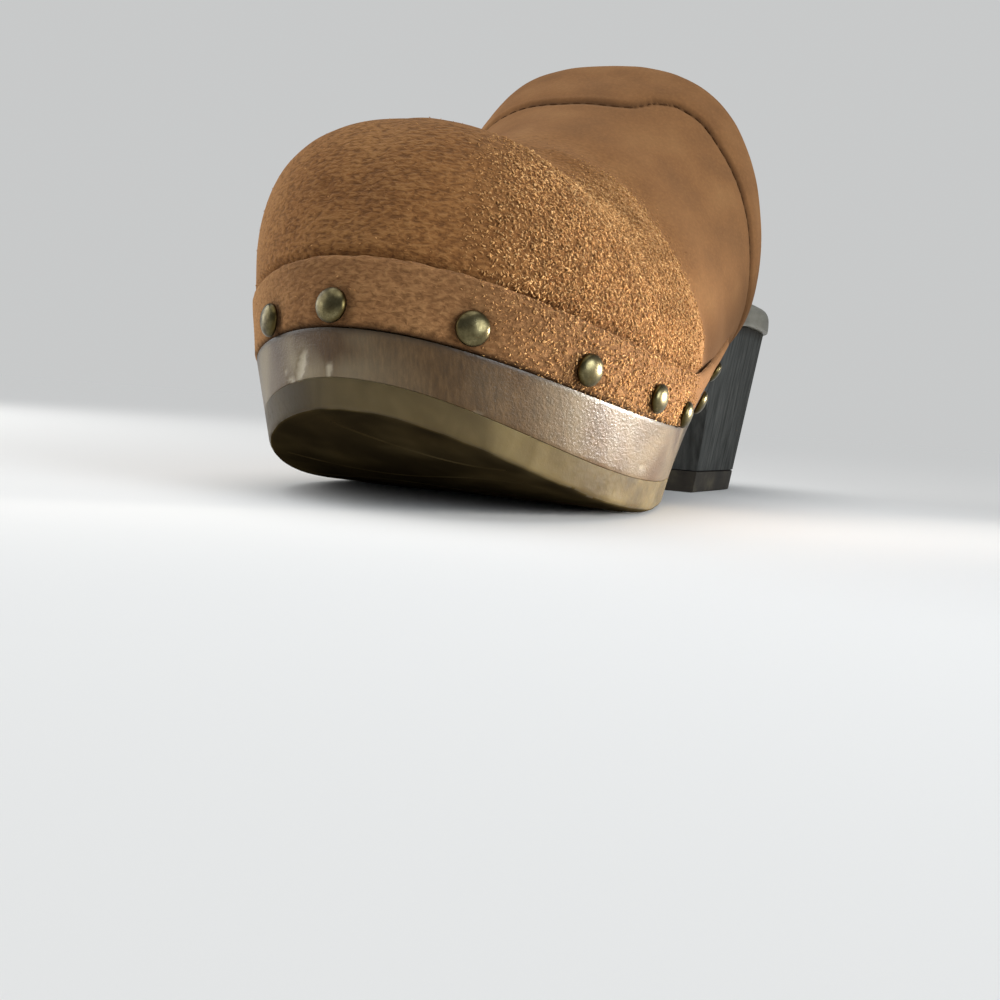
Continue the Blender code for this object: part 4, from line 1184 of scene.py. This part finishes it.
def buildBand():
    # a strip on the same sections as the upper, pulled in round each nail, its top edge cut by hand
    last = 1 - bandLook["endInset"] / hemLength
    shares = np.linspace(0, last, bandLook["columns"])
    columns = [(lateral, s) for s in shares[:0:-1]] + [(medial, s) for s in shares]
    points, ids, rise = [], [], []
    for side, share in columns:
        curve, run = vampCurve(side, share)
        hand = Vector((side * share * bandLook["waverSteps"], 3.3, 1.0))
        waver = bandLook["edgeWaver"] * noise.fractal(hand, 1.0, 2.0, 3)
        rises = np.linspace(0, vampShape["bandHeight"] + waver, bandLook["rows"])
        ids.append(list(range(len(points), len(points) + len(rises))))
        points += list(alongCurve(curve, run, rises))
        rise += list(rises)
    points, rise = np.array(points), np.array(rise)
    faces = sheetFaces(ids)
    normals = gridNormals(points, ids, faces)
    pressed = np.zeros(len(points))
    for _, place, _ in nails:
        far = np.linalg.norm(points - place, axis=1)
        pressed = np.maximum(pressed, 1 - ease(far, nailLook["pressFrom"], nailLook["pressReach"]))
    inside = gap - vampShape["bandSink"]
    thick = bandLook["thickness"] - nailLook["press"] * pressed
    thick += bandLook["unevenness"] * roughness(points, bandLook["unevenSize"], 8)
    count = len(points)
    fromEnd = np.repeat([(last - share) * hemLength for _, share in columns], bandLook["rows"])
    thick *= bandLook["skived"] + (1 - bandLook["skived"]) * ease(fromEnd, 0.0, bandLook["endTaper"])
    outer = points + normals * (inside + thick)[:, None]
    inner = points + normals * inside
    # the outer face rounds over at both cut edges
    for column in ids:
        for row, share in ((0, bandLook["lowRound"]), (-1, bandLook["highRound"])):
            outer[column[row]] += (inner[column[row]] - outer[column[row]]) * share
    allFaces = list(faces) + [tuple(i + count for i in face[::-1]) for face in faces]
    border = [c[0] for c in ids] + ids[-1][1:] + [c[-1] for c in ids[-2::-1]] + ids[0][-2:0:-1]
    allFaces += [(b, a, a + count, b + count) for a, b in zip(border, border[1:] + border[:1])]
    x, y = points[:, :2].T
    rawEdge = ease(rise, vampShape["bandHeight"] - bandLook["rawEdge"], vampShape["bandHeight"])
    # darker round each nail
    # a little less right under the nail
    nailDarker = bandLook["nailDarker"] * pressed * (1 - 0.2 * ease(pressed, 0.9, 1.0))
    # painted shade along the band's lower edge, with a ragged line
    ragged = rise + bandLook["lowShadeRagged"] * roughness(points, 2.0, 5)
    lowShade = bandLook["lowShade"] * (1 - ease(ragged, *bandLook["lowShadeEdge"]))
    # painted light on the outer corner of the toe
    side, along, light = bandLook["cornerLight"]
    worn = light * (1 - ease(x, *side)) * (1 - ease(y, *along))
    crumbs, brushed = (bandLook["napShare"] * share for share in napShares(points))
    values = {"crumbs": np.r_[crumbs, crumbs], "brushed": np.r_[brushed, brushed],
              "groove": np.r_[np.maximum(nailDarker, lowShade) * (1 - rawEdge), np.zeros(count)],
              "worn": np.r_[worn, np.zeros(count)]}
    piece = makePiece("suedeNailBand", np.concatenate([outer, inner]), allFaces, [bandSuede], None, values,
                      60.0)
    settle(piece, "band_suede", "nail_band")
    return outer, faces


bandFace, bandFaces = buildBand()
print("nail band ready")


# loose nap on upper and band

napLook = {
    "perSquareMm": 4.5, "length": 0.85, "width": 0.3, "bend": 0.35, "size": (0.5, 1.35), "tone": (0.4, 1.0),
    "lie": (0.4, -0.2, -0.3), "spread": 1.0, "lift": 0.1, "flatten": 0.95,
    "seed": 11, "turnSeed": 7, "toneSeed": 29,
    "bandShare": 0.6, "brushedShare": 0.015, "brushedFrom": 0.3, "thinOut": 0.25, "clearOfBand": 0.6,
}


def napTree():
    # bent crumbs of fibre scattered where the nap is rough, lying on the leather
    tree, inlet = newTree("suedeNap", {
        "Crumb": "Object", "Density": "Float", "Spread": "Float", "Lift": "Float", "Flatten": "Float",
        "Lie": "Vector", "Least Size": "Float", "Most Size": "Float", "Least Tone": "Float",
        "Most Tone": "Float", "Seed": "Int", "Turn Seed": "Int", "Tone Seed": "Int", "Suede": "Material"})
    rough = addNode(tree, "GeometryNodeInputNamedAttribute", {"data_type": "FLOAT", "Name": "crumbs"})
    density = addNode(tree, "ShaderNodeMath", {"operation": "MULTIPLY"}, {0: inlet["Density"], 1: rough})
    scatter = addNode(tree, "GeometryNodeDistributePointsOnFaces", links={
        "Mesh": inlet["Geometry"], "Density": density, "Seed": inlet["Seed"]})
    crumb = addNode(tree, "GeometryNodeObjectInfo", links={"Object": inlet["Crumb"]})
    stray = addNode(tree, "FunctionNodeRandomValue",
                    {"data_type": "FLOAT_VECTOR", 0: (-1, -1, -1), 1: (1, 1, 1)}, {"Seed": inlet["Seed"]})
    strayed = addNode(tree, "ShaderNodeVectorMath", {"operation": "SCALE"},
                      {0: stray, "Scale": inlet["Spread"]})
    way = addNode(tree, "ShaderNodeVectorMath", {"operation": "ADD"}, {0: strayed, 1: inlet["Lie"]})
    # most of the part that would stand off the leather is taken away
    normal = scatter.outputs["Normal"]
    lean = addNode(tree, "ShaderNodeVectorMath", {"operation": "DOT_PRODUCT"}, {0: way, 1: normal})
    pressed = addNode(tree, "ShaderNodeMath", {"operation": "MULTIPLY"}, {0: lean, 1: inlet["Flatten"]})
    standing = addNode(tree, "ShaderNodeVectorMath", {"operation": "SCALE"}, {0: normal, "Scale": pressed})
    lying = addNode(tree, "ShaderNodeVectorMath", {"operation": "SUBTRACT"}, {0: way, 1: standing})
    raised = addNode(tree, "ShaderNodeVectorMath", {"operation": "SCALE"},
                     {0: normal, "Scale": inlet["Lift"]})
    along = addNode(tree, "ShaderNodeVectorMath", {"operation": "ADD"}, {0: lying, 1: raised})
    size = addNode(tree, "FunctionNodeRandomValue", {"data_type": "FLOAT"},
                   {2: inlet["Least Size"], 3: inlet["Most Size"], "Seed": inlet["Seed"]})
    # the nap is shorter where it is thin
    growth = addNode(tree, "ShaderNodeMapRange", {"From Max": 0.6, "To Min": 0.5, "To Max": 1.0},
                     {"Value": rough})
    grown = addNode(tree, "ShaderNodeMath", {"operation": "MULTIPLY"}, {0: size, 1: growth})
    placed = addNode(tree, "GeometryNodeInstanceOnPoints", links={
        "Points": scatter, "Instance": crumb.outputs["Geometry"],
        "Rotation": turnTo(tree, along, inlet["Turn Seed"]), "Scale": grown})
    tone = addNode(tree, "FunctionNodeRandomValue", {"data_type": "FLOAT"},
                   {2: inlet["Least Tone"], 3: inlet["Most Tone"], "Seed": inlet["Tone Seed"]})
    # lone crumbs keep the colour of the leather round them
    share = addNode(tree, "ShaderNodeMapRange", {"From Max": 0.7, "To Min": 0.75, "To Max": 1.0},
                    {"Value": rough})
    shade = addNode(tree, "ShaderNodeMath", {"operation": "MULTIPLY"}, {0: tone, 1: share})
    toned = addNode(tree, "GeometryNodeStoreNamedAttribute",
                    {"data_type": "FLOAT", "domain": "INSTANCE", "Name": "tuftShade"},
                    {"Geometry": placed, "Value": shade})
    return endTree(tree, toned, inlet["Suede"])


def crumbShape():
    # a short bent clump, pointed at both ends
    radius, length = napLook["width"] / 2, napLook["length"]
    points, faces = [(0.0, 0.0, 0.0)], []
    for share in (0.3, 0.7):
        bend = napLook["bend"] * length * 4 * share * (1 - share)
        for k in range(3):
            angle = 2 * math.pi * k / 3
            points.append((radius * math.cos(angle) + bend, radius * math.sin(angle), length * share))
    points.append((0.0, 0.0, length))
    for k in range(3):
        n = (k + 1) % 3
        faces += [(0, 1 + n, 1 + k), (1 + k, 1 + n, 4 + n, 4 + k), (4 + k, 4 + n, 7)]
    return stampShape("napCrumb", points, faces)


def buildNap(name, points, faces, share, slot, tree, crumb):
    mesh = meshFrom(name, points, faces)
    crumbs, brushed = napShares(points)
    # no lone crumbs where the nap fades into smooth leather
    lone = napLook["brushedShare"] * (brushed > napLook["brushedFrom"])
    setValues(mesh, {"crumbs": share * np.maximum(crumbs * ease(crumbs, 0.0, napLook["thinOut"]), lone)})
    leastSize, mostSize = napLook["size"]
    leastTone, mostTone = napLook["tone"]
    piece = runTree(name, mesh, tree, {
        "Crumb": crumb, "Density": napLook["perSquareMm"] / mm**2, "Spread": napLook["spread"],
        "Lift": napLook["lift"], "Flatten": napLook["flatten"], "Lie": napLook["lie"],
        "Least Size": leastSize, "Most Size": mostSize, "Least Tone": leastTone, "Most Tone": mostTone,
        "Seed": napLook["seed"], "Turn Seed": napLook["turnSeed"], "Tone Seed": napLook["toneSeed"],
        "Suede": tuftSuede})
    settle(piece, slot)


napCrumb = crumbShape()
tuftTree = napTree()
bandTop = vampShape["bandHeight"] + napLook["clearOfBand"]
aboveBand = [face for face in sheet["faces"] if sheet["rise"][list(face)].min() > bandTop]
buildNap("suedeNap", upperFace, aboveBand, 1.0, "tan_suede", tuftTree, napCrumb)
buildNap("bandNap", bandFace, bandFaces, napLook["bandShare"], "band_suede", tuftTree, napCrumb)
bpy.data.objects.remove(napCrumb)
print("nap ready")


# stitches in the hem's seam

stitchLook = {"pitch": 3.6, "length": 2.7, "thickness": 0.7, "proud": 0.05, "firstRow": 14}


def stitchTree():
    # one stitch at each step along the seam's path, laid along it
    tree, inlet = newTree("hemStitches", {"Pitch": "Float", "Stitch Length": "Float", "Thickness": "Float",
                                          "Thread": "Material"})
    path = addNode(tree, "GeometryNodeMeshToCurve", links={"Mesh": inlet["Geometry"]})
    even = addNode(tree, "GeometryNodeResampleCurve", {"mode": "LENGTH"},
                   {"Curve": path, "Length": inlet["Pitch"]})
    tangent = addNode(tree, "GeometryNodeInputTangent")
    turned = addNode(tree, "FunctionNodeAlignRotationToVector", {"axis": "Z"}, {"Vector": tangent})
    ball = addNode(tree, "GeometryNodeMeshUVSphere", {"Segments": 8, "Rings": 6, "Radius": 0.5})
    smooth = addNode(tree, "GeometryNodeSetShadeSmooth", links={"Geometry": ball})
    size = addNode(tree, "ShaderNodeCombineXYZ", links={
        "X": inlet["Thickness"], "Y": inlet["Thickness"], "Z": inlet["Stitch Length"]})
    placed = addNode(tree, "GeometryNodeInstanceOnPoints", links={
        "Points": even, "Instance": smooth, "Rotation": turned, "Scale": size})
    return endTree(tree, placed, inlet["Thread"])


def buildStitches():
    # the seam's path: on each row of the sheet the place where the hem's share is 1
    ids = sheet["ids"]
    middle, first, count = len(ids) // 2, stitchLook["firstRow"], len(ids[0])
    outward = [(row, range(0, middle)) for row in range(first, count)]
    inward = [(row, range(len(ids) - 1, middle, -1)) for row in range(count - 2, first - 1, -1)]
    path = []
    for row, columns in outward + inward:
        line = [ids[c][row] for c in columns]
        hem = sheet["hemShare"][line]
        k = int(np.searchsorted(hem, 1.0))
        if 0 < k < len(line):
            t = (1.0 - hem[k - 1]) / (hem[k] - hem[k - 1])
            a, b = upperFace[line[k - 1]], upperFace[line[k]]
            path.append(a + (b - a) * t + sheet["normals"][line[k]] * stitchLook["proud"])
    mesh = meshFrom("hemStitches", path, [], [(i, i + 1) for i in range(len(path) - 1)])
    piece = runTree("hemStitches", mesh, stitchTree(), {
        "Pitch": stitchLook["pitch"] * mm, "Stitch Length": stitchLook["length"] * mm,
        "Thickness": stitchLook["thickness"] * mm, "Thread": thread})
    settle(piece, "tan_suede")


buildStitches()
print("stitches ready")


# floor, light and camera

stageLook = {
    "floor": "#ebeae7", "floorSize": 40.0, "ambient": "#e4ecf6", "ambientStrength": 0.27,
    # place, aim, width, height, spread in degrees, watts, colour
    "lights": {
        "key": ((0.42, -0.15, 0.13), (0.03, -0.08, 0.05), 0.3, 0.2, 56.0, 0.28, "#eef6ff"),
        "lowStrip": ((0.33, 0.19, 0.03), (0.044, -0.065, 0.016), 0.08, 0.05, 16.0, 0.06, "#fff8ee"),
        "fill": ((-0.5, -0.2, 0.2), (0.0, -0.06, 0.05), 0.5, 0.4, 180.0, 1.7, "#ffffff"),
    },
    # direction it shines, strength, angle it is spread over
    "overhead": ((0.1, 0.15, -1.0), 1.55, 70.0),
}
# place in mm from the toe tip, angles in degrees, focal length and image width in pixels
cameraLook = {
    "place": (109.249, -160.147, 21.352), "yaw": 24.535, "pitch": 4.822, "roll": -4.418,
    "focal": 1031.48, "image": 1000.0,
}


def addLight(name, kind, aim, settings):
    lamp = bpy.data.lights.new(name, kind)
    for label, value in settings.items():
        setattr(lamp, label, value)
    light = addObject(name, lamp)
    light.rotation_euler = Vector(aim).to_track_quat("-Z", "Y").to_euler()
    return light


def buildFloor():
    material = bpy.data.materials.new("matPaleFloor")
    material.use_nodes = True
    shader = material.node_tree.nodes["Principled BSDF"]
    shader.inputs["Base Color"].default_value = hexColour(stageLook["floor"])
    shader.inputs["Roughness"].default_value = 1.0
    shader.inputs["Specular IOR Level"].default_value = 0.0
    half = stageLook["floorSize"] / 2
    mesh = bpy.data.meshes.new("paleFloor")
    mesh.from_pydata([(-half, -half, 0), (half, -half, 0), (half, half, 0), (-half, half, 0)], [],
                     [(0, 1, 2, 3)])
    mesh.materials.append(material)
    addObject("paleFloor", mesh)


def buildLights():
    way, strength, angle = stageLook["overhead"]
    addLight("overhead", "SUN", way, {"energy": strength, "angle": math.radians(angle)})
    for name, (place, aim, width, height, spread, watts, colour) in stageLook["lights"].items():
        light = addLight(name, "AREA", Vector(aim) - Vector(place), {
            "shape": "RECTANGLE", "size": width, "size_y": height, "energy": watts,
            "spread": math.radians(spread), "color": hexColour(colour)[:3]})
        light.location = place
    # the camera sees a backdrop as bright as the far floor, the shoe gets the dimmer, cooler ambient light
    world = bpy.data.worlds.new("softStudio")
    world.use_nodes = True
    tree = world.node_tree
    ambient = tree.nodes["Background"]
    ambient.inputs["Color"].default_value = hexColour(stageLook["ambient"])
    ambient.inputs["Strength"].default_value = stageLook["ambientStrength"]
    fromAbove = strength * -Vector(way).normalized().z / math.pi
    farFloor = [own * (fromAbove + stageLook["ambientStrength"] * sent) for own, sent in
                zip(hexColour(stageLook["floor"]), hexColour(stageLook["ambient"]))]
    backdrop = addNode(tree, "ShaderNodeBackground", {"Color": (*farFloor[:3], 1.0), "Strength": 1.0})
    ray = addNode(tree, "ShaderNodeLightPath")
    seen = addNode(tree, "ShaderNodeMixShader",
                   links={0: ray.outputs["Is Camera Ray"], 1: ambient, 2: backdrop})
    linkTo(tree.nodes["World Output"], {"Surface": seen})
    bpy.context.scene.world = world


def buildCamera():
    yaw, pitch, roll = (math.radians(cameraLook[label]) for label in ("yaw", "pitch", "roll"))
    ahead = Vector((-math.sin(yaw) * math.cos(pitch), math.cos(yaw) * math.cos(pitch), -math.sin(pitch)))
    right = Vector((math.cos(yaw), math.sin(yaw), 0.0))
    upward = right.cross(ahead)
    rolledRight = right * math.cos(roll) - upward * math.sin(roll)
    rolledUp = right * math.sin(roll) + upward * math.cos(roll)
    data = bpy.data.cameras.new("photoCamera")
    data.sensor_width = 36.0
    data.lens = cameraLook["focal"] / cameraLook["image"] * data.sensor_width
    data.clip_start = 0.01
    camera = addObject("photoCamera", data)
    place = (Vector(cameraLook["place"]) + Vector(toeTip)) * mm
    turn = Matrix((rolledRight, rolledUp, -ahead)).transposed().to_4x4()
    camera.matrix_world = Matrix.Translation(place) @ turn
    bpy.context.scene.camera = camera


buildFloor()
buildLights()
buildCamera()
bpy.context.scene.view_settings.view_transform = "Standard"
print("stage ready")
